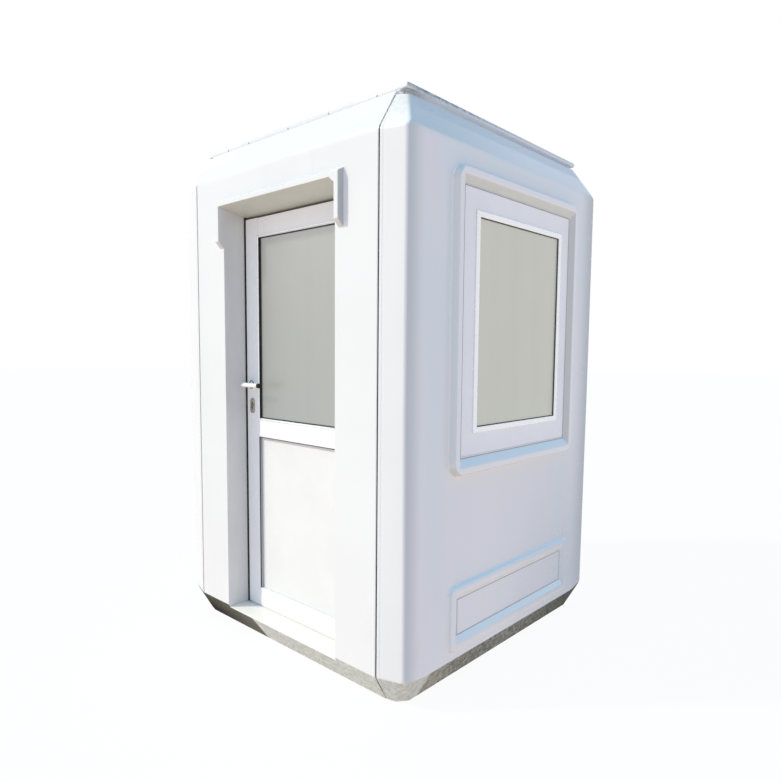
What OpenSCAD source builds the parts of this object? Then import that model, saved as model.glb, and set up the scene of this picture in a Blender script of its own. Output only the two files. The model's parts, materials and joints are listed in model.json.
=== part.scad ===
// Security guard booth: a moulded white shell with one hinged door and three fixed windows.
// Millimetres, Z up. The origin is the middle of the underside, and the door faces -Y.

/* [Body] */
// Width over the two side walls
body_w = 1500; // [1400:10:1900]
// Depth from the front panel to the back panel
body_d = 1540; // [1440:10:2000]
// Height of the upright part of the walls
wall_h = 2088; // [2060:4:2400]
// Height of the skirt that slopes in under the front and back
skirt_h = 112; // [90:2:160]
// Height of the skirt that slopes in under the side walls
skirt_side_h = 102; // [80:2:160]
// Height of the shoulder that leans in over the walls
shoulder_h = 152; // [110:2:200]
// Thickness of the moulded walls
wall_t = 50; // [40:1:60]

/* [Slopes] */
// How far the front and back panels lean in over the shoulder
front_lean = 95; // [60:5:100]
// How far the corner returns lean in over the shoulder
return_lean = 95; // [80:1:120]
// How far the side walls lean in over the shoulder
side_lean = 88; // [60:4:110]
// Cut across the shoulder's corners, measured at the top
shoulder_cut = 18; // [6:1:24]
// How far the front and back skirts slope in
skirt_in = 64; // [30:2:80]
// How far the side skirts slope in
skirt_side_in = 50; // [30:2:70]

/* [Corner returns] */
// Width of the strip that each side wall turns round its corners
return_w = 123; // [100:1:140]
// How far the strip falls back at the corner
return_back = 20; // [8:1:28]
// Radius of the upright corner edges
corner_r = 10; // [5:1:22]
// Open seam between a panel and a corner strip
seam = 8; // [4:1:12]
// Thickness of the panel where it laps over the side wall
lap_t = 16; // [10:1:24]
// Width of that lap
lap_w = 40; // [24:2:60]

/* [Roof] */
// Height of the roof lip
lip_h = 18; // [12:1:40]
// Height of the shadow neck under the lip
neck_h = 18; // [8:1:30]
// Set-back of the lip from the side walls
lip_side_in = 77; // [40:1:100]
// Set-back of the lip from the front panel
lip_front_in = 103; // [60:1:120]
// Set-back of the neck from the lip at the sides
neck_in = 20; // [10:1:30]
// Set-back of the neck from the lip at front and back
neck_front_in = 3; // [2:1:30]
// Rise of the roof to its middle
roof_rise = 16; // [6:1:60]

/* [Floor and ceiling] */
// Depth of the sill below the foot of the upright front
sill_drop = 12; // [4:1:24]
// Thickness of the floor deck
deck_t = 20; // [12:1:30]
// Thickness of the ceiling panel
ceiling_t = 20; // [12:1:30]

/* [Doorway] */
// Clear width between the jambs
doorway_w = 780; // [700:5:840]
// Height from the sill to the front edge of the soffit
doorway_h = 1955; // [1850:5:2000]
// Fall of the soffit from its front edge to the leaf
head_drop = 29; // [0:1:40]
// Depth of the reveal in front of the leaf
reveal_d = 118; // [90:1:150]
// Thickness of the reveal lining
lining_t = 40; // [25:1:50]

/* [Hood] */
// How far the hood stands out from the front panel
hood_out = 30; // [15:1:40]
// Width of the hood's legs
hood_leg_w = 31; // [20:1:45]
// Height of the hood's front face over the soffit
hood_face = 20; // [12:1:40]
// Rise of the hood's top from its front face to the panel
hood_slope = 15; // [6:1:25]
// Length of the hood's legs below the soffit
hood_leg_h = 190; // [100:5:300]
// Step from the jamb to the leg on the hinge side
hood_step = 22; // [0:1:40]

/* [Door frame] */
// Gap behind the leaf
frame_gap = 7; // [5:1:12]
// Depth of the door frame bars
frame_d = 42; // [30:1:60]
// Width of the door frame bars
frame_bar = 30; // [24:1:34]

/* [Door leaf] */
// Gap from the leaf to the jambs
leaf_gap = 10; // [8:1:14]
// Gap from the leaf to the sill
leaf_foot = 8; // [5:1:12]
// Gap from the leaf to the soffit
leaf_head = 12; // [6:1:16]
// Thickness of the leaf
leaf_t = 45; // [36:1:52]
// Width of the stiles
stile_w = 95; // [80:1:110]
// Height of the top and middle rails
rail_h = 88; // [70:1:110]
// Height of the bottom rail
foot_rail_h = 90; // [70:1:130]
// Height of the middle rail's top over the sill
mid_rail_top = 948; // [850:2:1000]
// Set-back of the glass and the lower panel behind the stiles
infill_in = 14; // [8:1:18]
// Thickness of the door glass and of the lower panel
infill_t = 16; // [8:1:20]
// Width of the glazing gasket in the leaf
door_gasket_w = 9; // [5:1:14]

/* [Hinges] */
// Length of a hinge barrel
hinge_l = 90; // [60:2:120]
// Radius of a hinge barrel
barrel_r = 7; // [6:0.5:7.5]
// Radius of a hinge pin
pin_r = 4; // [3:0.5:4.5]
// Running clearance round a pin
pin_play = 0.05; // [0.02:0.01:0.1]
// Gap between the two barrels of a hinge
barrel_gap = 0.3; // [0.2:0.1:1]
// Distance of the hinge line from the leaf's face and edge
hinge_off = 8; // [8:0.5:12]
// Thickness of a hinge flap
flap_t = 3; // [2:0.5:4]
// Width of the flap on the leaf
flap_w = 44; // [30:1:60]
// Width of the flap on the jamb
jamb_flap_w = 34; // [20:1:50]
// Height of the lower hinge over the leaf's foot
hinge_low = 190; // [120:5:300]
// Height of the upper hinge below the leaf's top
hinge_high = 190; // [120:5:300]

/* [Handle] */
// Distance of the spindle from the leaf's edge
backset = 45; // [40:1:50]
// Height of the spindle over the sill
handle_h = 1115; // [1000:5:1200]
// Width across the square spindle
spindle_w = 8; // [6:1:10]
// Radius of the lever's neck
neck_r = 9; // [7:0.5:12]
// Running clearance round the neck
neck_play = 0.05; // [0.02:0.01:0.1]
// How far a lever stands out from the leaf
lever_out = 60; // [45:1:70]
// Length of a lever from its spindle
lever_l = 118; // [90:2:140]
// Radius of a lever's round grip
lever_r = 10.5; // [9.5:0.5:13]
// How far the grip runs on past its spindle
lever_tail = 14; // [12:1:24]
// Radius of a rosette
rosette_r = 24; // [18:1:28]
// Thickness of a rosette and of the lock plate
plate_t = 7; // [4:0.5:9]
// Width of the oval lock plate
lock_w = 30; // [22:1:40]
// Height of the oval lock plate
lock_h = 72; // [50:1:90]
// Distance of the lock plate's middle below the spindle
lock_drop = 104; // [80:2:140]
// Width of the key slot
key_w = 10; // [6:1:12]
// Height of the key slot
key_h = 34; // [20:1:40]
// Depth of the key slot
key_d = 5; // [2:0.5:6]

/* [Windows] */
// Width of the window frame
window_w = 872; // [700:4:900]
// Height of the window frame
window_h = 1087; // [900:5:1120]
// Height of the window frame's foot over the skirt
window_z = 847; // [700:5:860]
// Shift of the side windows towards the back
window_shift = 18; // [0:1:30]
// Width of the fixed frame at the sides
fixed_side = 80; // [40:1:90]
// Width of the fixed frame at head and foot
fixed_head = 90; // [40:1:100]
// How far the fixed frame stands out from the wall
fixed_out = 10; // [2:1:16]
// Width of the sash bars
sash_w = 25; // [20:1:45]
// How far the sash stands out from the fixed frame's face
sash_out = 7; // [0:1:12]
// Depth of the sash bars
sash_d = 44; // [34:1:48]
// Width of the glazing gasket
gasket_w = 3; // [2:0.5:10]
// Depth of the glazing gasket
gasket_d = 5; // [3:0.5:8]
// Set-back of the gasket behind the sash's face
gasket_in = 5; // [4:1:12]
// Thickness of the window glass
pane_t = 18; // [6:1:20]

/* [Window surround] */
// Width of the bevel from the frame to the crest
bevel_w = 33; // [15:1:40]
// Width of the crest
crest_w = 20; // [10:1:30]
// Width of the outer slope
slope_w = 18; // [8:1:26]
// How far the crest stands out from the wall
crest_out = 32; // [20:1:40]
// Radius of the surround's outer corners
surround_r = 70; // [40:2:80]

/* [Lower panel] */
// Width of the raised lower panel
relief_w = 1024; // [800:4:1050]
// Height of the raised lower panel
relief_h = 288; // [220:4:320]
// Height of its foot over the skirt
relief_z = 24; // [16:2:60]
// Shift from the window's middle towards the back, on the side walls
relief_shift = 18; // [0:1:24]
// Width of its rib's outer slope
relief_slope = 7; // [4:1:20]
// Width of its rib's crest
relief_crest = 28; // [10:1:36]
// Width of its rib's inner slope
well_slope = 30; // [10:1:40]
// How far its rib stands out
relief_out = 10; // [6:1:28]
// Radius of its outer corners
relief_r = 40; // [30:1:60]
// Width of the groove round its field
groove_w = 3; // [2:0.5:8]
// Depth of the groove round its field
groove_d = 4; // [2:0.5:8]

/* [Hidden] */
$fn = 48;
over = 1;
white = [0.93, 0.94, 0.95];
shade_white = [0.86, 0.88, 0.91];
grey = [0.62, 0.63, 0.62];
pane = [0.66, 0.66, 0.62];
black = [0.08, 0.08, 0.09];
metal = [0.72, 0.72, 0.72];
brass = [0.55, 0.47, 0.30];
half_w = body_w / 2;
half_d = body_d / 2;
span = 2 * (body_w + body_d);
z_foot = skirt_h;
z_side_foot = skirt_side_h;
z_fold = skirt_h + wall_h;
z_top = z_fold + shoulder_h;
z_sill = z_foot - sill_drop;
z_head = z_sill + doorway_h;
z_head_in = z_head - head_drop;
panel_half = half_w - return_w;
room_lean = min(side_lean, return_w - wall_t - seam);
return_a = atan(return_back / return_w);
door_half = doorway_w / 2;
leaf_half = door_half - leaf_gap;
front_y = -half_d;
leaf_y = front_y + reveal_d;
leaf_back = leaf_y + leaf_t;
frame_y = leaf_back + frame_gap;
lining_y = frame_y + frame_d;
leaf_z0 = z_sill + leaf_foot;
leaf_z1 = z_head_in - leaf_head;
mid_z1 = z_sill + mid_rail_top;
mid_z0 = mid_z1 - rail_h;
glass_z0 = mid_z1;
glass_z1 = leaf_z1 - rail_h;
panel_z0 = leaf_z0 + foot_rail_h;
infill_half = leaf_half - stile_w;
infill_y = leaf_y + infill_in;
hinge_x = leaf_half - hinge_off;
hinge_y = leaf_y - hinge_off;
handle_x = -leaf_half + backset;
handle_z = z_sill + handle_h;
window_mid = z_foot + window_z + window_h / 2;
sash_half_w = window_w / 2 - fixed_side;
sash_half_h = window_h / 2 - fixed_head;
pane_half_w = sash_half_w - sash_w;
pane_half_h = sash_half_h - sash_w;
sash_y = -fixed_out - sash_out;
pane_y = sash_y + gasket_in + gasket_d;
relief_mid = z_foot + relief_z + relief_h / 2;

// A profile in Y and Z, drawn out along X about the middle.
module along_x(length) {
    rotate([90, 0, 90])
        linear_extrude(length, center = true)
            children();
}

// A profile in X and Z, drawn out along Y about the middle.
module along_y(length) {
    rotate([90, 0, 0])
        linear_extrude(length, center = true)
            children();
}

// A box from its low corner to its high corner.
module block(low, high) {
    translate(low)
        cube(high - low);
}

// Half a wall profile, from below the skirt, which is foot high, to above the shoulder.
function rise(face, foot, skirt, lean) = [
    [face - skirt * (1 + over / foot), -over],
    [face, foot],
    [face, z_fold],
    [face - lean * (1 + over / shoulder_h), z_top + over]
];

// The same profile on both sides of the middle.
function both(pts) = concat(pts, [for (i = [len(pts) - 1:-1:0]) [-pts[i][0], pts[i][1]]]);

// The body between the planes of the side walls, set in by t, with the given lean.
module side_limits(t, lean) {
    along_y(span)
        polygon(both(rise(half_w - t, z_side_foot, skirt_side_in, lean)));
}

// The body between the planes of the front and back panels, set in by t.
module panel_limits(t) {
    along_x(span)
        polygon(both(rise(half_d - t, z_foot, skirt_in, front_lean)));
}

// Everything behind the slightly turned strip at the front right corner.
module return_limit() {
    translate([panel_half, front_y, 0])
        rotate([0, 0, return_a])
            along_x(span)
                polygon(concat(
                    [for (p = rise(0, z_foot, skirt_in, return_lean)) [-p[0], p[1]]],
                    [[span, z_top + over], [span, -over]]));
}

// Upright prism that rounds the front right corner edge.
module corner_limit() {
    y_mid = front_y + return_back + corner_r * (1 - sin(return_a)) / cos(return_a);
    x_mid = half_w - corner_r;
    x_touch = x_mid + corner_r * sin(return_a);
    y_touch = y_mid - corner_r * cos(return_a);
    translate([0, 0, -over])
        linear_extrude(z_top + 2 * over)
            union() {
                translate([x_mid, y_mid])
                    circle(corner_r);
                polygon([
                    [x_touch - span * cos(return_a), y_touch - span * sin(return_a)],
                    [x_touch, y_touch],
                    [x_mid, y_mid],
                    [half_w, y_mid],
                    [half_w, span],
                    [x_touch - span * cos(return_a), span]
                ]);
            }
}

// Plane that cuts the front right corner of the shoulder, more and more towards the top.
module shoulder_limit() {
    fold_reach = (half_w + half_d - return_back) / sqrt(2);
    top_back = return_lean / cos(return_a) + (return_w - side_lean) * tan(return_a);
    top_reach = (half_w - side_lean + half_d - top_back) / sqrt(2) - shoulder_cut;
    rotate([0, 0, -45])
        along_y(span)
            polygon(concat(
                rise(fold_reach, z_foot, 0, fold_reach - top_reach),
                [[-span, z_top + over], [-span, -over]]));
}

// The room inside the walls.
module hollow() {
    intersection() {
        side_limits(wall_t, room_lean);
        panel_limits(wall_t);
    }
}

module height_limit() {
    block([-span, -span, 0], [span, span, z_top]);
}

// Block with sloping sides for a wall that faces -Y: size0 at depth y0, size1 at depth y1.
module taper(size0, y0, size1, y1, z_mid) {
    intersection() {
        translate([0, 0, z_mid - span / 2])
            linear_extrude(span)
                polygon([
                    [-size0[0] / 2, y0],
                    [size0[0] / 2, y0],
                    [size1[0] / 2, y1],
                    [-size1[0] / 2, y1]
                ]);
        along_x(span)
            polygon([
                [y0, z_mid - size0[1] / 2],
                [y0, z_mid + size0[1] / 2],
                [y1, z_mid + size1[1] / 2],
                [y1, z_mid - size1[1] / 2]
            ]);
    }
}

// Upright rectangle with rounded corners.
module rounded(size, r) {
    union() {
        square([size[0] - 2 * r, size[1]], center = true);
        square([size[0], size[1] - 2 * r], center = true);
        for (x = [-1, 1])
            for (y = [-1, 1])
                translate([x * (size[0] / 2 - r), y * (size[1] / 2 - r)])
                    circle(r);
    }
}

// A flat ring for a wall that faces -Y.
module ring(out_w, out_h, in_w, in_h, y0, y1, z_mid) {
    difference() {
        block([-out_w, y0, z_mid - out_h], [out_w, y1, z_mid + out_h]);
        block([-in_w, y0 - over, z_mid - in_h], [in_w, y1 + over, z_mid + in_h]);
    }
}

// Raised rib with sloping sides and rounded outer corners, on a wall that faces -Y.
// Its foot is rooted a little inside the wall.
module rib(foot, slope, out, r, z_mid) {
    crest = foot - [2 * slope, 2 * slope];
    root = foot + [2, 2] * slope * over / out;
    intersection() {
        taper(root, over, crest, -out, z_mid);
        translate([0, 0, z_mid])
            along_y(span)
                rounded(foot, r);
    }
}

frame_size = [window_w, window_h];
crest_size = frame_size + [2 * bevel_w, 2 * bevel_w];
surround_size = crest_size + [2 * (crest_w + slope_w), 2 * (crest_w + slope_w)];
relief_size = [relief_w, relief_h];
relief_well = relief_size - [2, 2] * (relief_slope + relief_crest);
relief_field = relief_well - [2, 2] * well_slope;

// What the moulding adds to a wall: the window surround and the lower panel, which may sit aside.
module wall_relief(aside) {
    rib(surround_size, slope_w, crest_out, surround_r, window_mid);
    translate([aside, 0, 0])
        difference() {
            rib(relief_size, relief_slope, relief_out, relief_r, relief_mid);
            taper(relief_field, 0, relief_well, -relief_out, relief_mid);
        }
}

// What is taken out of a wall: the window's bevelled recess and opening, and the lower panel's groove.
module wall_opening(aside) {
    field = relief_field / 2;
    translate([aside, 0, 0])
        ring(field[0], field[1], field[0] - groove_w, field[1] - groove_w, -over, groove_d, relief_mid);
    step = bevel_w / (crest_out - fixed_out);
    lead = [2, 2] * step * over;
    taper(frame_size, -fixed_out, crest_size + lead, -crest_out - over, window_mid);
    ring_half = frame_size / 2;
    block(
        [-ring_half[0], -crest_out - over, window_mid - ring_half[1]],
        [ring_half[0], wall_t + over, window_mid + ring_half[1]]);
}

module on_right() {
    translate([half_w, window_shift, 0])
        rotate([0, 0, 90])
            children();
}

module on_left() {
    mirror([1, 0, 0])
        on_right()
            children();
}

module on_back() {
    translate([0, half_d, 0])
        rotate([0, 0, 180])
            children();
}

// Room for the tongues behind the front panel's edges and the back panel's edges.
module lap_room() {
    for (x = [0, 1])
        mirror([x, 0, 0])
            intersection() {
                panel_limits(lap_t);
                block([panel_half - lap_w, -span, -over], [panel_half + seam / 2 + over, span, z_top + over]);
            }
}

// Tongues of the right wall behind the edges of the front and back panels.
module lap() {
    difference() {
        intersection() {
            panel_limits(lap_t);
            block([panel_half - lap_w, -span, 0], [panel_half + seam / 2 + over, span, z_top]);
        }
        hollow();
    }
}

// The right wall as a plain sheet with its two corner strips.
module side_sheet() {
    difference() {
        intersection() {
            side_limits(0, side_lean);
            return_limit();
            mirror([0, 1, 0])
                return_limit();
            corner_limit();
            mirror([0, 1, 0])
                corner_limit();
            shoulder_limit();
            mirror([0, 1, 0])
                shoulder_limit();
            block([panel_half + seam / 2, -span, 0], [span, span, z_top]);
        }
        hollow();
    }
}

module side_wall() {
    difference() {
        union() {
            side_sheet();
            lap();
            on_right()
                wall_relief(relief_shift);
        }
        on_right()
            wall_opening(relief_shift);
    }
}

module right_wall() {
    color(shade_white)
        side_wall();
}

module left_wall() {
    color(white)
        mirror([1, 0, 0])
            side_wall();
}

// Front panel as a plain sheet between the corner strips.
module front_sheet() {
    difference() {
        intersection() {
            panel_limits(0);
            height_limit();
            block([-panel_half + seam / 2, -span, 0], [panel_half - seam / 2, 0, z_top]);
        }
        hollow();
        lap_room();
    }
}

module back_wall() {
    color(white)
        difference() {
            union() {
                mirror([0, 1, 0])
                    front_sheet();
                on_back()
                    wall_relief(0);
            }
            on_back()
                wall_opening(0);
        }
}

hood_top = z_head + hood_face + hood_slope;
hood_foot = z_head - hood_leg_h;

// One leg of the hood, with its foot and top bevelled back to the panel.
module hood_leg(x0, x1) {
    translate([(x0 + x1) / 2, 0, 0])
        along_x(x1 - x0)
            polygon([
                [front_y + over, hood_foot - over],
                [front_y, hood_foot],
                [front_y - hood_out, hood_foot + hood_out],
                [front_y - hood_out, z_head + hood_face],
                [front_y, hood_top],
                [front_y + over, hood_top]
            ]);
}

// The hood's bar over the doorway.
module hood_bar(x0, x1) {
    translate([(x0 + x1) / 2, 0, 0])
        along_x(x1 - x0)
            polygon([
                [front_y + over, z_head],
                [front_y - hood_out, z_head],
                [front_y - hood_out, z_head + hood_face],
                [front_y, hood_top],
                [front_y + over, hood_top]
            ]);
}

// Lining leg beside the doorway, on the side given by its jamb and back faces.
module lining(x0, x1) {
    block([x0, front_y + wall_t - over, z_sill], [x1, lining_y, z_head_in + lining_t]);
}

module front_left_pillar() {
    color(white)
        union() {
            intersection() {
                front_sheet();
                block([-span, -span, 0], [-door_half, 0, z_top]);
            }
            lining(-door_half - lining_t, -door_half);
            hood_leg(-door_half - hood_leg_w, -door_half);
        }
}

module front_right_pillar() {
    step_x = door_half + hood_step;
    color(white)
        union() {
            intersection() {
                front_sheet();
                block([door_half, -span, 0], [span, 0, z_top]);
            }
            lining(door_half, door_half + lining_t);
            hood_leg(step_x, step_x + hood_leg_w);
            hood_bar(door_half, step_x);
        }
}

module front_head() {
    color(white)
        union() {
            difference() {
                intersection() {
                    front_sheet();
                    block([-door_half, -span, z_head_in], [door_half, 0, z_top]);
                }
                head_cut();
            }
            difference() {
                block(
                    [-door_half, front_y + wall_t - over, z_head_in],
                    [door_half, lining_y, z_head_in + lining_t]);
                head_cut();
            }
            hood_bar(-door_half, door_half);
        }
}

// Wedge below the soffit, which falls from the hood's edge to the leaf.
module head_cut() {
    along_x(span)
        polygon([
            [front_y - hood_out, z_head],
            [front_y - hood_out, z_head_in - over],
            [leaf_y, z_head_in - over],
            [leaf_y, z_head_in]
        ]);
}

module door_sill() {
    color(white)
        intersection() {
            front_sheet();
            block([-door_half, -span, 0], [door_half, 0, z_sill]);
        }
}

module floor_base() {
    color(grey)
        intersection() {
            hollow();
            block([-span, -span, 0], [span, span, z_sill - deck_t]);
        }
}

module floor_deck() {
    color(grey)
        intersection() {
            hollow();
            block([-span, -span, z_sill - deck_t], [span, span, z_sill]);
        }
}

module ceiling_panel() {
    color(white)
        intersection() {
            hollow();
            block([-span, -span, z_fold - ceiling_t], [span, span, z_fold]);
        }
}

module roof_cap() {
    lip = [half_w - lip_side_in, half_d - lip_front_in];
    neck = lip - [neck_in, neck_front_in];
    z_lip = z_top + neck_h;
    z_roof = z_lip + lip_h;
    color(white)
        union() {
            block([-neck[0], -neck[1], z_top], [neck[0], neck[1], z_lip]);
            intersection() {
                along_y(2 * lip[1])
                    polygon([
                        [-lip[0], z_lip],
                        [lip[0], z_lip],
                        [lip[0], z_roof],
                        [0, z_roof + roof_rise],
                        [-lip[0], z_roof]
                    ]);
                along_x(2 * lip[0])
                    polygon([
                        [-lip[1], z_lip],
                        [lip[1], z_lip],
                        [lip[1], z_roof],
                        [0, z_roof + roof_rise],
                        [-lip[1], z_roof]
                    ]);
            }
        }
}

module door_frame_lock_side() {
    color(white)
        block([-door_half, frame_y, z_sill], [-door_half + frame_bar, lining_y, z_head_in]);
}

module door_frame_hinge_side() {
    color(white)
        block([door_half - frame_bar, frame_y, z_sill], [door_half, lining_y, z_head_in]);
}

module door_frame_head() {
    side = door_half - frame_bar;
    color(white)
        block([-side, frame_y, z_head_in - frame_bar], [side, lining_y, z_head_in]);
}

module window_frame() {
    color(shade_white)
        ring(window_w / 2, window_h / 2, sash_half_w, sash_half_h, -fixed_out, wall_t, window_mid);
}

module window_sash() {
    color(white)
        ring(sash_half_w, sash_half_h, pane_half_w, pane_half_h, sash_y, sash_y + sash_d, window_mid);
}

module window_gasket() {
    color(black)
        ring(pane_half_w, pane_half_h, pane_half_w - gasket_w, pane_half_h - gasket_w,
            sash_y + gasket_in, pane_y, window_mid);
}

module window_glass() {
    color(pane)
        block(
            [-pane_half_w, pane_y, window_mid - pane_half_h],
            [pane_half_w, pane_y + pane_t, window_mid + pane_half_h]);
}

module right_window_frame() { on_right() window_frame(); }
module right_window_sash() { on_right() window_sash(); }
module right_window_gasket() { on_right() window_gasket(); }
module right_window_glass() { on_right() window_glass(); }
module left_window_frame() { on_left() window_frame(); }
module left_window_sash() { on_left() window_sash(); }
module left_window_gasket() { on_left() window_gasket(); }
module left_window_glass() { on_left() window_glass(); }
module back_window_frame() { on_back() window_frame(); }
module back_window_sash() { on_back() window_sash(); }
module back_window_gasket() { on_back() window_gasket(); }
module back_window_glass() { on_back() window_glass(); }

// Clear hole for the spindle through the lock stile.
module spindle_hole() {
    translate([handle_x, leaf_y - over, handle_z])
        rotate([-90, 0, 0])
            cylinder(r = neck_r + neck_play, h = leaf_t + 2 * over);
}

module door_lock_stile() {
    color(shade_white)
        difference() {
            block([-leaf_half, leaf_y, leaf_z0], [-infill_half, leaf_back, leaf_z1]);
            spindle_hole();
        }
}

module door_hinge_stile() {
    color(shade_white)
        block([infill_half, leaf_y, leaf_z0], [leaf_half, leaf_back, leaf_z1]);
}

module leaf_rail(z0, z1) {
    color(shade_white)
        block([-infill_half, leaf_y, z0], [infill_half, leaf_back, z1]);
}

module door_top_rail() { leaf_rail(glass_z1, leaf_z1); }
module door_mid_rail() { leaf_rail(mid_z0, mid_z1); }
module door_bottom_rail() { leaf_rail(leaf_z0, panel_z0); }

module door_glass() {
    color(pane)
        block([-infill_half, infill_y, glass_z0], [infill_half, infill_y + infill_t, glass_z1]);
}

module door_gasket() {
    z_mid = (glass_z0 + glass_z1) / 2;
    half_h = (glass_z1 - glass_z0) / 2;
    color(black)
        ring(infill_half, half_h, infill_half - door_gasket_w, half_h - door_gasket_w,
            infill_y - gasket_d, infill_y, z_mid);
}

module door_panel() {
    color(white)
        block([-infill_half, infill_y, panel_z0], [infill_half, infill_y + infill_t, mid_z0]);
}

// Half of a hinge on the leaf: the upper barrel and its flap.
module hinge_leaf_half(z0) {
    z_mid = z0 + hinge_l / 2 + barrel_gap;
    z_end = z0 + hinge_l;
    color(metal)
        difference() {
            union() {
                translate([hinge_x, hinge_y, z_mid])
                    cylinder(r = barrel_r, h = z_end - z_mid);
                block([hinge_x - flap_w, leaf_y - flap_t, z_mid], [hinge_x, leaf_y, z_end]);
            }
            translate([hinge_x, hinge_y, z_mid - over])
                cylinder(r = pin_r + pin_play, h = hinge_l);
        }
}

// Half of a hinge on the jamb: the lower barrel, the pin and its flap.
module hinge_jamb_half(z0) {
    z_mid = z0 + hinge_l / 2;
    arm = barrel_r / 2;
    color(metal)
        union() {
            translate([hinge_x, hinge_y, z0])
                cylinder(r = barrel_r, h = z_mid - z0);
            translate([hinge_x, hinge_y, z0])
                cylinder(r = pin_r, h = hinge_l);
            block([hinge_x, hinge_y - arm, z0], [door_half, hinge_y, z_mid]);
            block([door_half - flap_t, hinge_y - jamb_flap_w, z0], [door_half, hinge_y, z_mid]);
        }
}

z_hinge_low = leaf_z0 + hinge_low;
z_hinge_high = leaf_z1 - hinge_high;

module lower_hinge_leaf_half() { hinge_leaf_half(z_hinge_low); }
module lower_hinge_jamb_half() { hinge_jamb_half(z_hinge_low); }
module upper_hinge_leaf_half() { hinge_leaf_half(z_hinge_high); }
module upper_hinge_jamb_half() { hinge_jamb_half(z_hinge_high); }

// Rosette round the lever's neck, on the leaf face that looks to -Y.
module rosette() {
    color(white)
        rotate([90, 0, 0])
            difference() {
                cylinder(r = rosette_r, h = plate_t);
                translate([0, 0, -over])
                    cylinder(r = neck_r + neck_play, h = plate_t + 2 * over);
            }
}

// Lever that points to +X, on the leaf face that looks to -Y.
module lever() {
    color(white)
        union() {
            rotate([90, 0, 0])
                cylinder(r = neck_r, h = lever_out - lever_r);
            translate([-lever_tail, -lever_out + lever_r, 0])
                rotate([0, 90, 0])
                    cylinder(r = lever_r, h = lever_tail + lever_l);
        }
}

module at_outside() {
    translate([handle_x, leaf_y, handle_z])
        children();
}

module at_inside() {
    translate([handle_x, leaf_back, handle_z])
        mirror([0, 1, 0])
            children();
}

module rosette_outside() { at_outside() rosette(); }
module rosette_inside() { at_inside() rosette(); }
module lever_outside() { at_outside() lever(); }
module lever_inside() { at_inside() lever(); }

module lever_spindle() {
    color(metal)
        block(
            [handle_x - spindle_w / 2, leaf_y, handle_z - spindle_w / 2],
            [handle_x + spindle_w / 2, leaf_back, handle_z + spindle_w / 2]);
}

// Upright oval with straight sides.
module oval(w, h) {
    union() {
        square([w, h - w], center = true);
        for (y = [-1, 1])
            translate([0, y * (h - w) / 2])
                circle(w / 2);
    }
}

module lock_plate() {
    color(brass)
        translate([handle_x, leaf_y, handle_z - lock_drop])
            rotate([90, 0, 0])
                difference() {
                    linear_extrude(plate_t)
                        oval(lock_w, lock_h);
                    translate([0, 0, plate_t - key_d])
                        linear_extrude(key_d + over)
                            oval(key_w, key_h);
                }
}

floor_base();
floor_deck();
ceiling_panel();
roof_cap();
front_left_pillar();
front_right_pillar();
front_head();
door_sill();
right_wall();
left_wall();
back_wall();
door_frame_lock_side();
door_frame_hinge_side();
door_frame_head();
right_window_frame();
right_window_sash();
right_window_gasket();
right_window_glass();
left_window_frame();
left_window_sash();
left_window_gasket();
left_window_glass();
back_window_frame();
back_window_sash();
back_window_gasket();
back_window_glass();
door_lock_stile();
door_hinge_stile();
door_top_rail();
door_mid_rail();
door_bottom_rail();
door_glass();
door_gasket();
door_panel();
lower_hinge_leaf_half();
lower_hinge_jamb_half();
upper_hinge_leaf_half();
upper_hinge_jamb_half();
rosette_outside();
rosette_inside();
lock_plate();
lever_outside();
lever_inside();
lever_spindle();
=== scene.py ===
import json
import math

import bmesh
import bpy
import numpy as np
from mathutils import Matrix, Vector


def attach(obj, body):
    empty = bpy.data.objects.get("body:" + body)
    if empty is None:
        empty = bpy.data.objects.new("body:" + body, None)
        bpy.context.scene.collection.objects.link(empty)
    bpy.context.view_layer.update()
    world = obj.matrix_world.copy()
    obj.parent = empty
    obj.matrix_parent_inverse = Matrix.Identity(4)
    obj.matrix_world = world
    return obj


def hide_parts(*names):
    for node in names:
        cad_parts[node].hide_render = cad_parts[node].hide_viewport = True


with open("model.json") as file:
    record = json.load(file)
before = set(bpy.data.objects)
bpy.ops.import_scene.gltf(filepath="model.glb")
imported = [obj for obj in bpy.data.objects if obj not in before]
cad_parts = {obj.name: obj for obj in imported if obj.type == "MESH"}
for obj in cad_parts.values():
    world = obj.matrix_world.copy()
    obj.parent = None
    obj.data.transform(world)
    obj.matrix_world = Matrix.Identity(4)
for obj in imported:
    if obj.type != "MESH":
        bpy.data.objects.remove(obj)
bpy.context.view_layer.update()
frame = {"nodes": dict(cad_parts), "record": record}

NODES = frame["nodes"]
SCENE = bpy.context.scene
TINY = 1e-6

# Camera fitted to the photograph (metres, degrees, pixels of a 781 px frame)
CAM_POS = (2.2473, -2.4624, 1.3945)
CAM_YAW, CAM_PITCH, CAM_ROLL = 42.522, -4.904, 0.476
FOCAL_PX, FRAME_PX, CENTRE_Y_PX = 625.02, 781.0, 402.75
SENSOR, CLIP_END = 36.0, 200

# Body, metres
HALF_W, HALF_D, WALL_T = 0.750, 0.770, 0.050
Z_FOOT, Z_SIDE_FOOT, Z_FOLD, Z_TOP = 0.112, 0.102, 2.200, 2.352
FRONT_LEAN, RETURN_LEAN, SIDE_LEAN, ROOM_LEAN = 0.095, 0.095, 0.088, 0.065
SKIRT_IN, SKIRT_SIDE_IN = 0.064, 0.050
RETURN_W, RETURN_BACK, RETURN_DRIFT = 0.123, 0.020, 0.010
SEAM, SHOULDER_SEAM = 0.0065, 0.0045
PANEL_HALF = HALF_W - RETURN_W
FOLD_SOFT, FOLD_SOFT_TOP = 0.007, 0.016
ROOM = (HALF_W - WALL_T, HALF_D - WALL_T)

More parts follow.
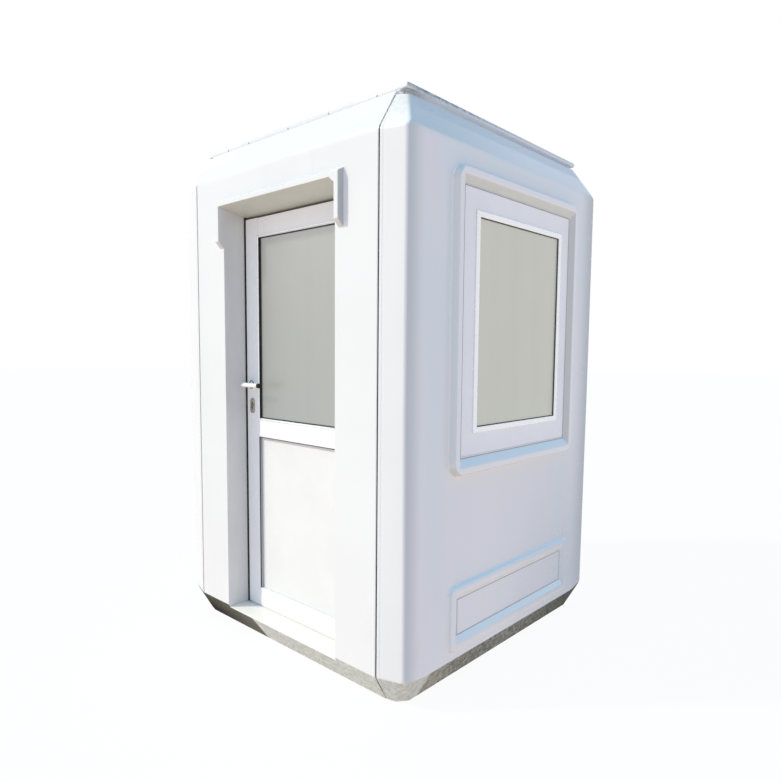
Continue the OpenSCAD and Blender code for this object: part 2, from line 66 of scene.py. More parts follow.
# Doorway and hood
DOOR_HALF, Z_SILL, Z_HEAD, Z_HEAD_IN = 0.390, 0.100, 2.055, 2.026
LEAF_Y, LEAF_BACK, FRAME_Y, LINING_Y, LINING_T = -0.652, -0.607, -0.600, -0.558, 0.040
HOOD_OUT, HOOD_LEG_W, HOOD_LEG_H = 0.030, 0.031, 0.190
HOOD_FACE, HOOD_SLOPE, HOOD_STEP = 0.020, 0.015, 0.022

# Windows with their raised surround, and the lower panel
WIN_W, WIN_H, WIN_MID, WIN_SHIFT, FIXED_OUT = 0.872, 1.087, 1.5025, 0.018, 0.010
BEVEL_W, CREST_W, SLOPE_W, CREST_OUT, SURROUND_R = 0.031, 0.028, 0.012, 0.032, 0.070
SURROUND_MID, SURROUND_H, SURROUND_BAND = 1.4970, 1.098, BEVEL_W + CREST_W + SLOPE_W
CREST_SOFT, BEVEL_SOFT = 0.010, 0.004
WIN_X, WIN_Y = (-WIN_W / 2, WIN_W / 2), (WIN_SHIFT - WIN_W / 2, WIN_SHIFT + WIN_W / 2)
WIN_Z = (WIN_MID - WIN_H / 2, WIN_MID + WIN_H / 2)
PANEL_W, PANEL_H, PANEL_MID, PANEL_SHIFT = 1.024, 0.288, 0.280, 0.018
PANEL_SLOPE, PANEL_CREST, WELL_SLOPE, PANEL_OUT, PANEL_R = 0.013, 0.024, 0.028, 0.013, 0.040
PANEL_BAND = PANEL_SLOPE + PANEL_CREST + WELL_SLOPE
PANEL_SOFT, WELL_SOFT, WELL_FOOT_SOFT, WELL_R = 0.005, 0.003, 0.002, 0.004
GROOVE_W, GROOVE_D = 0.0045, 0.006

# Roof
LIP = (0.673, 0.667)
STRIP_TOP, Z_LIP, Z_ROOF, ROOF_RISE, ROOF_FALL = 2.335, 2.359, 2.377, 0.016, 0.008

# Door leaf and handle
LEAF_HALF, LEAF_Z0, INFILL_HALF, INFILL_Y = 0.380, 0.108, 0.285, -0.638
GLASS_Z0, GLASS_Z1, DOOR_PANEL_Z0, DOOR_PANEL_Z1 = 1.048, 1.926, 0.198, 0.960
HANDLE = (-0.335, 1.215)
LEVER_L, LEVER_OUT, LEVER_R, PLATE_T = 0.118, 0.060, 0.0105, 0.007
LOCK_DROP, KEY_W, KEY_D = 0.104, 0.010, 0.005


def give(thing, values):
    for key, value in values.items():
        setattr(thing, key, value)


class Tree:
    """A node tree, with short calls for the nodes used here."""

    def __init__(self, owner):
        owner.use_nodes = True
        self.tree = owner.node_tree

    def node(self, kind, inputs=None, **props):
        """Outputs of a new node; its inputs are given by name or number."""
        n = self.tree.nodes.new("ShaderNode" + kind)
        give(n, props)
        for key, value in (inputs or {}).items():
            self.put(n.inputs[key], value)
        return n.outputs

    def put(self, socket, value):
        if isinstance(value, bpy.types.NodeSocket):
            self.tree.links.new(value, socket)
        elif socket.type == "RGBA":
            socket.default_value = (*value, 1)
        else:
            socket.default_value = value

    def math(self, kind, a, b=0.0, clamp=False):
        return self.node("Math", {0: a, 1: b}, operation=kind, use_clamp=clamp)[0]

    def times(self, *factors):
        total = factors[0]
        for f in factors[1:]:
            total = self.math("MULTIPLY", total, f)
        return total

    def ramp(self, value, low, high, to_low=0.0, to_high=1.0, kind="SMOOTHSTEP"):
        keys = ("Value", "From Min", "From Max", "To Min", "To Max")
        values = (value, low, high, to_low, to_high)
        return self.node("MapRange", dict(zip(keys, values)), interpolation_type=kind)[0]

    def split(self, vector):
        return self.node("SeparateXYZ", {0: vector})

    def mix(self, amount, a, b, blend="MIX"):
        return self.node("Mix", {"Factor": amount, 6: a, 7: b}, data_type="RGBA", blend_type=blend)[2]

    def seen_directly(self):
        """1 for rays that show the surroundings themselves: camera, mirror and glass rays."""
        rays = self.node("LightPath")
        total = rays["Is Camera Ray"]
        for key in ("Is Glossy Ray", "Is Transmission Ray"):
            total = self.math("MAXIMUM", total, rays[key])
        return total


class Paint(Tree):
    """A new material's node tree."""

    def __init__(self, name):
        self.material = bpy.data.materials.new(name)
        super().__init__(self.material)
        self.where = self.node("TexCoord")["Object"]

    def set(self, **values):
        """The material, with these values in its surface."""
        surface = self.tree.nodes["Principled BSDF"]
        for key, value in values.items():
            self.put(surface.inputs[key.replace("_", " ")], value)
        return self.material

    def noise(self, scale, detail=3.0, rough=0.5, stretch=(1, 1, 1), warp=0.0):
        where = self.node("Mapping", {"Vector": self.where, "Scale": stretch})[0]
        return self.node("TexNoise", {"Vector": where, "Scale": scale, "Detail": detail, "Roughness": rough,
                                      "Distortion": warp})["Fac"]

    def spots(self, low, high, *noise):
        """Noise, cut softly between two levels."""
        return self.ramp(self.noise(*noise), low, high)

    def uneven(self, base, more, *noise):
        """A value that noise raises by up to so much."""
        return self.math("ADD", base, self.times(self.noise(*noise), more))

    def bump(self, height, distance, strength, under=None):
        inputs = {"Distance": distance, "Strength": strength, "Height": height}
        if under is not None:
            inputs["Normal"] = under
        return self.node("Bump", inputs)[0]

    def grain(self, scale, detail, distance, strength):
        return self.bump(self.noise(scale, detail), distance, strength)


def dimmed(colour, share):
    return tuple(c * share for c in colour)


def gelcoat(name, white=(0.815, 0.817, 0.817), underside_shade=(0.575, 0.620, 0.575), lip_shade=None):
    """Glossy moulded gelcoat: mottling, run-off streaks, splash dirt, grimy skirt, painted light and shade;
    matt lining inside.
    """
    p = Paint(name)
    ramp, noise, spots, times, mix = p.ramp, p.noise, p.spots, p.times, p.mix
    x, y, z = p.split(p.where)
    nx, ny, up = p.split(p.node("NewGeometry")["Normal"])
    wide, across = p.math("ABSOLUTE", x), p.math("ABSOLUTE", nx)
    tone = mix(spots(0.3, 0.7, 2.1, 3), white, dimmed(white, 0.97))

    # lays a colour over the tone: real stains and dirt, and also painted light and shade
    def stain_and_light(colour, *factors):
        nonlocal tone
        tone = mix(times(*factors), tone, colour)

    # the sides ripple: bluish and pinkish bands that run down the wall
    sides = ramp(across, 0.7, 0.95)
    ripple = p.math("ADD", noise(4.2, 3, 0.55, (1, 1, 0.22), 0.4), ramp(z, 1.95, 1.25, -0.06, 0.09))
    stain_and_light(mix(ramp(ripple, 0.40, 0.62), (0.795, 0.840, 0.862), (0.845, 0.828, 0.842)), sides, 0.85)
    # run-off streaks, splashes near the ground, dust on what faces up
    stain_and_light((0.66, 0.65, 0.61), spots(0.54, 0.78, 9, 4, 0.6, (1, 1, 0.06)), spots(0.35, 0.65, 1.4, 2), 0.16)
    stain_and_light((0.58, 0.55, 0.48), ramp(z, 0.55, 0.10), spots(0.45, 0.75, 7, 6, 0.65), 0.14)
    dust = times(ramp(up, 0.80, 0.99), spots(0.35, 0.75, 5, 6, 0.62), ramp(z, 1.0, 2.2, 0.08, 0.40))
    stain_and_light((0.60, 0.58, 0.53), dust)
    # painted shade: the sides darken towards the back and the foot, where they are also duller; both ends
    # darken as painted shade too, and the far one has pale chips
    dull_and_shaded = times(sides, ramp(y, -0.30, 0.75), ramp(z, 1.30, 0.12),
                 ramp(noise(3.0, 4, 0.6), 0.2, 0.7, 0.85, 1.0), 0.85)
    stain_and_light((0.55, 0.60, 0.645), dull_and_shaded)
    below_fold = ramp(z, Z_FOLD + 0.04, Z_FOLD - 0.02)
    # painted shade: the far end of the sides, below the fold, darker and bluer
    stain_and_light((0.40, 0.455, 0.465), ramp(across, 0.3, 0.8), ramp(y, 0.58, 0.75), below_fold, 0.75)
    chips = spots(0.645, 0.70, 75, 3, 0.6, (1, 1, 0.5))
    stain_and_light((0.90, 0.87, 0.85), chips, ramp(y, 0.60, 0.68), ramp(across, 0.3, 0.6), 0.8)
    # painted shade: the near end of the sides, next to the corner strip, darker and bluer
    stain_and_light((0.590, 0.615, 0.630), sides, ramp(y, -0.640, -0.748), below_fold, ramp(wide, 0.70, 0.74))
    # painted sky light: the shoulders are bluish at the sides, most of all in front, and so are the slopes
    # that face up below them, the highest of these painted lighter
    leaning = ramp(up, 0.20, 0.40)
    sky_tint = mix(ramp(y, -0.70, 0.20), (0.575, 0.690, 0.730), (0.800, 0.825, 0.860))
    stain_and_light(sky_tint, leaning, ramp(across, 0.5, 0.7), ramp(z, 2.12, 2.16))
    pale = mix(ramp(z, 2.04, 2.06), (0.83, 0.945, 0.975), (0.950, 0.970, 0.970))
    stain_and_light(pale, leaning, ramp(across, 0.10, 0.25), ramp(z, 2.12, 2.10), 0.9)
    # painted light: the crest of a surround is paler as a painted highlight, and its slope towards the front
    # a little darker as painted shade
    stain_and_light((0.880, 0.872, 0.878), sides, ramp(wide, HALF_W + 0.023, HALF_W + 0.029))
    stain_and_light((0.690, 0.725, 0.735), ramp(ny, -0.30, -0.55), ramp(across, 0.15, 0.35),
          ramp(wide, HALF_W + 0.003, HALF_W + 0.009), ramp(y, -0.55, -0.53), 0.85)
    # the sun warms the front shoulder, most of all at the corner strips, and the sill
    inward = ramp(y, -0.50, -0.55)
    warm = mix(ramp(wide, 0.615, 0.635), (0.850, 0.825, 0.815), (0.970, 0.915, 0.845))
    stain_and_light(warm, leaning, ramp(ny, -0.35, -0.55), ramp(z, 2.16, 2.20))
    stain_and_light((0.960, 0.890, 0.820), ramp(up, 0.7, 0.9), ramp(wide, DOOR_HALF + 0.01, DOOR_HALF),
          ramp(z, 0.30, 0.20), inward)
    # painted shade, mottled: undersides, the lining of the doorway, its head, the far bevel of a window and
    # the side of the hood are darker
    under = times(ramp(up, -0.20, -0.55), ramp(noise(14, 5, 0.6), 0.2, 0.7, 0.75, 1.0))
    stain_and_light(underside_shade, under, 0.85)
    doorway = times(ramp(wide, DOOR_HALF + 0.003, DOOR_HALF + 0.001), inward)
    cloud = ramp(noise(9, 5, 0.6, (1, 1, 0.3)), 0.2, 0.75, 0.7, 1.0)
    stain_and_light((0.625, 0.620, 0.615), ramp(across, 0.6, 0.8), doorway, cloud, 0.85)
    stain_and_light((0.530, 0.560, 0.480), ramp(up, -0.5, -0.8), doorway, ramp(z, 1.95, 2.00),
          ramp(noise(8, 4), 0.2, 0.7, 0.7, 1.0), 0.75)
    stain_and_light((0.56, 0.555, 0.52), ramp(ny, -0.30, -0.50), ramp(wide, HALF_W + 0.001, HALF_W + 0.004),
          ramp(y, 0.440, 0.452), ramp(z, 0.90, 0.95), 0.65)
    stain_and_light((0.44, 0.465, 0.470), ramp(nx, 0.45, 0.70), ramp(x, 0.40, 0.41),
          ramp(y, -HALF_D - 0.001, -HALF_D - 0.004), ramp(z, 1.85, 1.87), 0.92)
    if lip_shade is not None:
        # painted shade: the sides of the roof's lip are dark blue, most of all towards the front, and the
        # neck under the lip is bluish, dark grey near the front
        stain_and_light(lip_shade, ramp(across, 0.60, 0.85), ramp(z, Z_LIP + 0.001, Z_LIP + 0.009, 0.4, 1.0),
              ramp(z, Z_LIP - 0.0005, Z_LIP + 0.001), ramp(y, 0.30, -0.55, 0.35, 0.95))
        shade = mix(ramp(y, -0.50, -0.645), (0.660, 0.775, 0.890), (0.260, 0.290, 0.320))
        stain_and_light(shade, ramp(z, Z_LIP, Z_LIP - 0.002), ramp(ny, -0.85, -0.60), 0.9)
    # the skirt, under the fold: tan in front and at the corners, painted as if sunlit, with scratches;
    # mottled grime at the sides, darker towards the back, also standing in for their shade; a painted cast
    # shadow over the left end
    mottle = spots(0.40, 0.60, 52, 6, 0.8)
    grime_and_shade = mix(mottle, (0.062, 0.072, 0.066), (0.310, 0.335, 0.310))
    grime_and_shade = mix(times(spots(0.35, 0.70, 17, 5, 0.65), 0.45), grime_and_shade, (0.16, 0.155, 0.110))
    grime_and_shade = mix(times(ramp(y, 0.0, 0.75), 0.70), grime_and_shade, (0.022, 0.030, 0.027))
    near = mix(mottle, (0.32, 0.320, 0.250), (0.55, 0.545, 0.465))
    grime_and_shade = mix(times(ramp(y, -0.25, -0.60), 0.5), grime_and_shade, near)
    tan = mix(mottle, (0.470, 0.508, 0.462), (0.640, 0.680, 0.650))
    scratch = spots(0.60, 0.72, 60, 5, 0.7, (1, 1, 0.25), 0.6)
    tan = mix(times(scratch, ramp(x, -0.35, 0.0), 0.35), tan, (0.74, 0.73, 0.69))
    # painted cast shadow over the left end of the front skirt, near black at the ground and lighter towards
    # the right; it lies left of a slanting line
    dark = mix(ramp(z, 0.02, 0.11), mix(mottle, (0.004, 0.003, 0.002), (0.016, 0.014, 0.009)),
               mix(mottle, (0.045, 0.045, 0.030), (0.100, 0.100, 0.070)))
    dark = mix(times(ramp(x, -0.60, -0.15), 0.6), dark, (0.200, 0.196, 0.170))
    tan = mix(ramp(p.math("ADD", x, times(z, 0.6)), -0.135, -0.160), tan, dark)
    aside = times(ramp(across, 0.35, 0.75), ramp(p.math("SUBTRACT", y, times(z, 0.25)), -0.620, -0.590))
    edge = p.uneven(z, 0.008, 40, 4, 0.6)
    skirt = times(ramp(edge, Z_FOOT + 0.014, Z_FOOT + 0.005), ramp(up, -0.12, -0.30))
    # sunlit tan, painted, in front and at the corners; grime with painted shade at the sides
    stain_and_light(mix(aside, tan, grime_and_shade), skirt)
    # the inner faces
    room = [ramp(v, half + 0.002, half + 0.001) for v, half in zip((wide, p.math("ABSOLUTE", y)), ROOM)]
    lined = times(*room, p.math("SUBTRACT", 1.0, doorway), ramp(z, 0.096, 0.100))
    stain_and_light((0.78, 0.78, 0.76), lined, spots(0.3, 0.7, 60, 5, 0.6), 0.7)
    rough = p.math("ADD", 0.15, times(spots(0.3, 0.8, 6, 5, 0.6), 0.10))
    for mask, more in ((skirt, 0.35), (dust, 0.5), (lined, 0.30), (under, 0.15), (dull_and_shaded, 0.15)):
        rough = p.math("ADD", rough, times(mask, more), True)
    waves = p.grain(2.6, 2, 0.004, 0.30)
    peel = p.bump(noise(240, 2), 0.0004, 0.12, waves)
    grit = p.bump(times(skirt, noise(420, 4, 0.7)), 0.0012, 0.5, peel)
    shine = p.math("SUBTRACT", 0.5, times(skirt, 0.42))
    return p.set(Base_Color=tone, Roughness=rough, Normal=grit, Specular_IOR_Level=shine)


def coated_metal(name, colour):
    """Powder-coated aluminium: fine grain, faint scuffs."""
    p = Paint(name)
    scuff = p.spots(0.56, 0.80, 34, 6, 0.7, (1, 1, 0.25))
    tone = p.mix(p.spots(0.3, 0.7, 3.0, 3), colour, dimmed(colour, 0.97))
    tone = p.mix(p.times(scuff, 0.12), tone, (0.60, 0.60, 0.58))
    return p.set(Base_Color=tone, Roughness=p.math("ADD", 0.26, p.times(scuff, 0.2)),
                 Normal=p.grain(900, 2, 0.0002, 0.18))


def plastic(name, colour, rough=0.25, dirt=0.14, coat=0.0, metal=0.0):
    """Smooth extruded plastic: slight tone and gloss changes."""
    p = Paint(name)
    tone = p.mix(p.spots(0.3, 0.72, 4.0, 4, 0.6), colour, dimmed(colour, 0.96))
    smear = p.spots(0.58, 0.85, 22, 6, 0.7, (1, 1, 0.3))
    tone = p.mix(p.times(smear, dirt), tone, (0.58, 0.56, 0.52))
    return p.set(Base_Color=tone, Roughness=p.uneven(rough, 0.12, 12, 4), Coat_Weight=coat, Metallic=metal,
                 Normal=p.grain(160, 2, 0.0003, 0.10))


def rubber(name):
    p = Paint(name)
    tone = p.mix(p.spots(0.4, 0.75, 40, 5, 0.65), (0.010, 0.010, 0.011), (0.035, 0.034, 0.032))
    return p.set(Base_Color=tone, Roughness=p.uneven(0.42, 0.25, 30, 3), Normal=p.grain(500, 2, 0.0003, 0.3))


def seam_filler(name):
    """Dark seam filler, with a glimpse of old yellow foam at its foot."""
    p = Paint(name)
    z = p.split(p.where)[2]
    tone = p.mix(p.spots(0.35, 0.75, 60, 5, 0.65), (0.012, 0.012, 0.013), (0.060, 0.058, 0.055))
    yellow = p.mix(p.spots(0.35, 0.65, 150, 5, 0.7), (0.30, 0.22, 0.09), (0.52, 0.43, 0.22))
    tone = p.mix(p.ramp(p.uneven(z, 0.02, 50, 3), 0.060, 0.045), tone, yellow)
    return p.set(Base_Color=tone, Roughness=0.8, Normal=p.grain(300, 4, 0.0008, 0.5))


def foam(name):
    """Old brown foam tape, dark enough to stand in for the shadow in the gaps it lies in."""
    p = Paint(name)
    tone = p.mix(p.spots(0.35, 0.70, 70, 5, 0.65), (0.014, 0.011, 0.008), (0.070, 0.050, 0.026))
    return p.set(Base_Color=tone, Roughness=0.9, Normal=p.grain(600, 3, 0.0006, 0.5))


def film_glass(name, shade=(1.0, 1.0, 1.0)):
    """Glass with a pale satin film: faint upright streaks and dust, and a painted glow."""
    p = Paint(name)
    clear, dim, pale = (tuple(v * k for v, k in zip(tone, shade))
                        for tone in ((0.340, 0.343, 0.315), (0.310, 0.313, 0.290), (0.360, 0.363, 0.335)))
    tone = p.mix(p.times(p.spots(0.35, 0.75, 11, 4, 0.6, (1, 1, 0.05)), 0.5), clear, dim)
    tone = p.mix(p.times(p.spots(0.4, 0.8, 2.4, 3), 0.4), tone, pale)
    # painted glow: the pane shines as if daylit from the room behind the film
    return p.set(Base_Color=tone, Metallic=0.9, Roughness=p.uneven(0.36, 0.10, 7, 4),
                 Emission_Color=(0.200, 0.203, 0.187), Emission_Strength=1.0)


def brass(name, colour):
    p = Paint(name)
    tone = p.mix(p.spots(0.35, 0.7, 120, 5, 0.6), colour, dimmed(colour, 0.45))
    return p.set(Base_Color=tone, Metallic=1.0, Roughness=p.uneven(0.28, 0.25, 90, 4),
                 Normal=p.grain(300, 2, 0.0002, 0.2))


def steel(name, dark=(0.50, 0.50, 0.50), light=(0.66, 0.66, 0.66)):
    p = Paint(name)
    tone = p.mix(p.noise(400, 3, 0.6, (1, 1, 0.1)), dark, light)
    return p.set(Base_Color=tone, Metallic=1.0, Roughness=p.uneven(0.25, 0.2, 60, 3))


def floor_sheet(name):
    p = Paint(name)
    tone = p.mix(p.spots(0.45, 0.62, 190, 4, 0.7), (0.34, 0.34, 0.33), (0.46, 0.46, 0.44))
    tone = p.mix(p.times(p.spots(0.45, 0.8, 4, 5, 0.6), 0.4), tone, (0.40, 0.37, 0.31))
    return p.set(Base_Color=tone, Roughness=p.uneven(0.45, 0.2, 9, 4), Normal=p.grain(260, 2, 0.0005, 0.3))


def painted_frame(name):
    p = Paint(name)
    rust = p.spots(0.60, 0.74, 14, 6, 0.68)
    tone = p.mix(rust, (0.11, 0.11, 0.112), (0.16, 0.085, 0.045))
    return p.set(Base_Color=tone, Roughness=p.math("ADD", 0.45, p.times(rust, 0.3)))


MATS = {
    "gelcoat": gelcoat("gelcoat_white"),
    # the roof's last two colours are its painted underside shade and the painted dark blue shade of its lip
    "roof_gelcoat": gelcoat("gelcoat_roof", (0.80, 0.812, 0.825), (0.50, 0.62, 0.75), (0.08, 0.22, 0.33)),
    "lining": plastic("inner_lining", (0.80, 0.80, 0.78), 0.5),
    "floor_frame": painted_frame("painted_frame"),
    "floor_sheet": floor_sheet("floor_sheet"),
    "glass": film_glass("film_glass"),
    "gasket": rubber("black_gasket"),
    "window_frame": plastic("window_frame_white", (0.925, 0.915, 0.930), 0.28, 0.06, 0.3),
    "sash": plastic("sash_white", (0.965, 0.965, 0.965), 0.20, 0.03, 0.6, 0.4),
    "door_frame": coated_metal("door_frame_white", (0.82, 0.825, 0.83)),
    "door_panel": plastic("door_panel_white", (0.835, 0.835, 0.825), 0.35, 0.08),
    "door_profile": coated_metal("door_profile_white", (0.90, 0.905, 0.91)),
    "hinge": coated_metal("hinge_white", (0.80, 0.81, 0.82)),
    "lock_plate": brass("lock_plate_worn", (0.58, 0.56, 0.51)),
    "spindle": steel("spindle_steel"),
    "handle": plastic("handle_white", (0.93, 0.925, 0.91), 0.22, 0.05),
}
SEAM_FILLER = seam_filler("seam_filler")
KEY_BRASS = brass("key_brass", (0.62, 0.46, 0.18))
DARK_BRASS = brass("dark_brass", (0.30, 0.25, 0.15))
SCREW_STEEL = steel("screw_steel", (0.26, 0.26, 0.26), (0.42, 0.41, 0.40))
SEALANT = plastic("grey_sealant", (0.40, 0.41, 0.42), 0.55)
PALE_SEALANT = plastic("pale_sealant", (0.66, 0.66, 0.65), 0.55)
GAP_SHADE_FOAM = foam("gap_shade_foam")
# the door's copy is darker and bluer: painted shade that offsets the sunlight on its glass
DOOR_GLASS = film_glass("door_film_glass", (0.80, 0.81, 0.88))
SLOT = {s["node"]: s["material_slot"] for s in frame["record"]["subparts"]}

# Rounded edges on the CAD nodes: width in metres; then the angles (degrees) of flat faces and of edges
EDGE = {"gelcoat": 0.005, "roof_gelcoat": 0.004, "window_frame": 0.0025, "sash": 0.004, "door_profile": 0.004,
        "door_frame": 0.002, "door_panel": 0.001, "handle": 0.003, "lock_plate": 0.0012, "hinge": 0.0008,
        "gasket": 0.001, "glass": 0.0006, "lining": 0.001, "floor_sheet": 0.001, "floor_frame": 0.002,
        "spindle": 0.0004}
WELD_GAP, FLAT_ANGLE, EDGE_ANGLE, EDGE_STEPS, EVEN_WEIGHT = 0.00002, 0.4, 30, 3, 80


def smooth(mesh):
    mesh.polygons.foreach_set("use_smooth", [True] * len(mesh.polygons))


def soften(obj, width):
    """Round the edges of a CAD node and even out its shading."""
    mesh = obj.data
    if "custom_normal" in mesh.attributes:
        mesh.attributes.remove(mesh.attributes["custom_normal"])
    smooth(mesh)
    flat, edge = math.radians(FLAT_ANGLE), math.radians(EDGE_ANGLE)
    steps = {"WELD": {"merge_threshold": WELD_GAP},
             "DECIMATE": {"decimate_type": "DISSOLVE", "angle_limit": flat},
             "BEVEL": {"width": width, "segments": EDGE_STEPS, "limit_method": "ANGLE", "angle_limit": edge,
                       "use_clamp_overlap": True, "miter_outer": "MITER_ARC"},
             "WEIGHTED_NORMAL": {"keep_sharp": True, "weight": EVEN_WEIGHT}}
    for kind, values in steps.items():
        give(obj.modifiers.new(kind.lower(), kind), values)


for name, obj in NODES.items():
    obj.data.materials.clear()
    obj.data.materials.append(DOOR_GLASS if name == "door_glass" else MATS[SLOT[name]])
    soften(obj, EDGE[SLOT[name]])


# Moulded shells: smooth height fields over the walls, closed to solids


def ease(t, w):
    """A ramp that starts at 0 with a rounded foot of half-width w."""
    return np.where(t <= -w, 0.0, np.where(t >= w, t, (t + w) ** 2 / (4 * w)))


def low(a, b, k):
    """Smaller of two heights, rounded where they cross."""
    h = np.maximum(k - np.abs(a - b), 0) / k
    return np.minimum(a, b) - h * h * k / 4


def high(a, b, k):
    return -low(-np.asarray(a), -np.asarray(b), k)


def inset(z, foot, skirt, lean):
    """How far a wall lies behind its upright face at height z."""
    below = ease(foot - z, FOLD_SOFT) * skirt / foot
    above = ease(z - Z_FOLD, FOLD_SOFT_TOP) * lean / (Z_TOP - Z_FOLD)
    return below + above


def inside(u, v, half_u, half_v, r):
    """Distance inside the edge of a rounded rectangle, negative outside."""
    qu, qv = np.abs(u) - (half_u - r), np.abs(v) - (half_v - r)
    return r - np.hypot(np.maximum(qu, 0), np.maximum(qv, 0)) - np.minimum(np.maximum(qu, qv), 0)


def edge_drop(distance, r):
    """Rounding of radius r towards an edge."""
    t = np.clip(1 - distance / r, 0, 1)
    return r * (1 - np.sqrt(1 - t * t))


def surround_height(u, v):
    half_u, half_v = WIN_W / 2, SURROUND_H / 2
    climb = inside(u, v, half_u + SURROUND_BAND, half_v + SURROUND_BAND, SURROUND_R) * CREST_OUT / SLOPE_W
    out = np.maximum(np.abs(u) - half_u, np.abs(v) - half_v)
    bevel = FIXED_OUT + np.maximum(out, 0) * (CREST_OUT - FIXED_OUT) / BEVEL_W
    crest = low(low(climb, CREST_OUT + 0 * climb, CREST_SOFT), bevel, BEVEL_SOFT)
    return high(crest, 0 * crest, BEVEL_SOFT)


def panel_height(u, v):
    half_u, half_v = PANEL_W / 2, PANEL_H / 2
    climb = inside(u, v, half_u, half_v, PANEL_R) * PANEL_OUT / PANEL_SLOPE
    out = -inside(u, v, half_u - PANEL_BAND, half_v - PANEL_BAND, WELL_R)
    well = out * PANEL_OUT / WELL_SLOPE
    crest = low(low(climb, PANEL_OUT + 0 * climb, PANEL_SOFT), well, WELL_SOFT)
    groove = np.clip(1 - np.abs(out + GROOVE_W / 2) / (GROOVE_W / 2), 0, 1)
    return high(crest, 0 * well, WELL_FOOT_SOFT) - GROOVE_D * np.sqrt(groove)


def wall_height(u, z, aside):
    """Height of the window surround and the lower panel over a wall; u runs from the window's middle."""
    return surround_height(u, z - SURROUND_MID) + panel_height(u - aside, z - PANEL_MID)


# Grid lines: largest step, fine lines at a fold, lines over a rounded corner, up the skirt and past a panel
GRID_STEP, CORNER_LINES, COLUMN_END = 0.06, 15, 0.004
FINE = (-0.010, -0.006, -0.003, 0, 0.003, 0.006, 0.010)
SKIRT_LINES = (0, 0.02, 0.04, 0.06, 0.08)
# Other lines keep this far from the edge of a window opening
OPENING_CLEAR = 0.0015


def fill(marks):
    """Grid lines through all the marks, no further apart than the grid step."""
    marks = sorted({round(m, 4) for m in marks})
    out = [marks[0]]
    for a, b in zip(marks, marks[1:]):
        n = max(1, math.ceil((b - a) / GRID_STEP - TINY))
        out += [a + (b - a) * k / n for k in range(1, n + 1)]
    return np.array(out)


def around(centre, half, band_edges, r):
    """Grid lines for a rounded frame: fine at each edge of its profile, even over its rounded corners."""
    lines = []
    for side in (-1, 1):
        for e in band_edges:
            lines += [centre + side * (half - e) + d for d in FINE]
        lines += [centre + side * (half - r * k / CORNER_LINES) for k in range(CORNER_LINES + 1)]
    return lines


def window_lines(centre, half, ends):
    """Lines across a window surround, with one exactly at each end of the opening."""
    lines = around(centre, half + SURROUND_BAND, (0, SLOPE_W, SLOPE_W + CREST_W), SURROUND_R)
    for edge in {*ends, centre - half, centre + half}:
        lines = [v for v in lines if abs(v - edge) > OPENING_CLEAR] + [edge]
    return lines


def panel_lines(centre, half):
    lines = around(centre, half, (0, PANEL_SLOPE, PANEL_SLOPE + PANEL_CREST, PANEL_BAND), PANEL_R)
    for side in (-1, 1):
        lines += [centre + side * (half - PANEL_BAND - GROOVE_W * k / 4) for k in range(-1, 6)]
    return lines


def height_lines(top):
    marks = [*SKIRT_LINES, top]
    for fold in (Z_SIDE_FOOT, Z_FOOT):
        marks += [fold + FOLD_SOFT * k / 2 for k in range(-3, 4)]
    marks += [Z_FOLD + FOLD_SOFT_TOP * k / 3 for k in range(-5, 6)]
    marks += window_lines(SURROUND_MID, SURROUND_H / 2, WIN_Z) + panel_lines(PANEL_MID, PANEL_H / 2)
    return fill(marks)


def opening(zs, z, us, u):
    """Rows and columns of a grid at the edges of an opening."""
    return [int(np.argmin(np.abs(lines - v))) for lines, ends in ((zs, z), (us, u)) for v in ends]


def band(a, b):
    """Faces between two closed rows of point numbers."""
    n = len(a)
    return [(a[k], a[(k + 1) % n], b[(k + 1) % n], b[k]) for k in range(n)]


def shell(name, outer, inner, hole=None, loops=()):
    """A closed wall from two grids of points, with an opening between the given rows and columns."""
    rows, cols = outer.shape[:2]
    points = np.concatenate([outer.reshape(-1, 3), inner.reshape(-1, 3)])
    back = rows * cols
    faces = []

    def at(r, c):
        return r * cols + c

    def ring(r0, r1, c0, c1):
        first = [at(r0, c) for c in range(c0, c1)] + [at(r, c1) for r in range(r0, r1)]
        return first + [at(r1, c) for c in range(c1, c0, -1)] + [at(r, c0) for r in range(r1, r0, -1)]

    def cut(r, c):
        return hole is not None and hole[0] <= r < hole[1] and hole[2] <= c < hole[3]

    for r in range(rows - 1):
        for c in range(cols - 1):
            if not cut(r, c):
                quad = (at(r, c), at(r, c + 1), at(r + 1, c + 1), at(r + 1, c))
                faces.append(quad)
                faces.append(tuple(back + i for i in reversed(quad)))
    rim = ring(0, rows - 1, 0, cols - 1)
    faces += band(rim, [back + i for i in rim])
    if hole is not None:
        edge = ring(*hole)
        chain = [edge]
        for move in loops:
            start = len(points)
            points = np.concatenate([points, [move(*points[i]) for i in edge]])
            chain.append(range(start, start + len(edge)))
        chain.append([back + i for i in edge])
        for a, b in zip(chain, chain[1:]):
            faces += band(a, b)
    return solid(name, points, faces)


# Angles (degrees) over which an edge stays sharp: shells, turned and joined pieces, bars and frames
SHELL_SHARP, TURNED_SHARP, BAR_SHARP = 32, 40, 50


def linked(name, data):
    obj = bpy.data.objects.new(name, data)
    SCENE.collection.objects.link(obj)
    return obj


def shown(name, mesh, bm, sharp):
    """An object of the bmesh, smooth below the sharp angle."""
    bm.to_mesh(mesh)
    bm.free()
    smooth(mesh)
    mesh.set_sharp_from_angle(angle=math.radians(sharp))
    return linked(name, mesh)


def solid(name, points, faces, sharp=SHELL_SHARP):
    """An object from points and faces: loose points dropped, normals outward."""
    mesh = bpy.data.meshes.new(name)
    mesh.from_pydata([tuple(p) for p in points], [], faces)
    bm = bmesh.new()
    bm.from_mesh(mesh)
    bmesh.ops.delete(bm, geom=[v for v in bm.verts if not v.link_faces], context="VERTS")
    bmesh.ops.recalc_face_normals(bm, faces=bm.faces)
    return shown(name, mesh, bm, sharp)


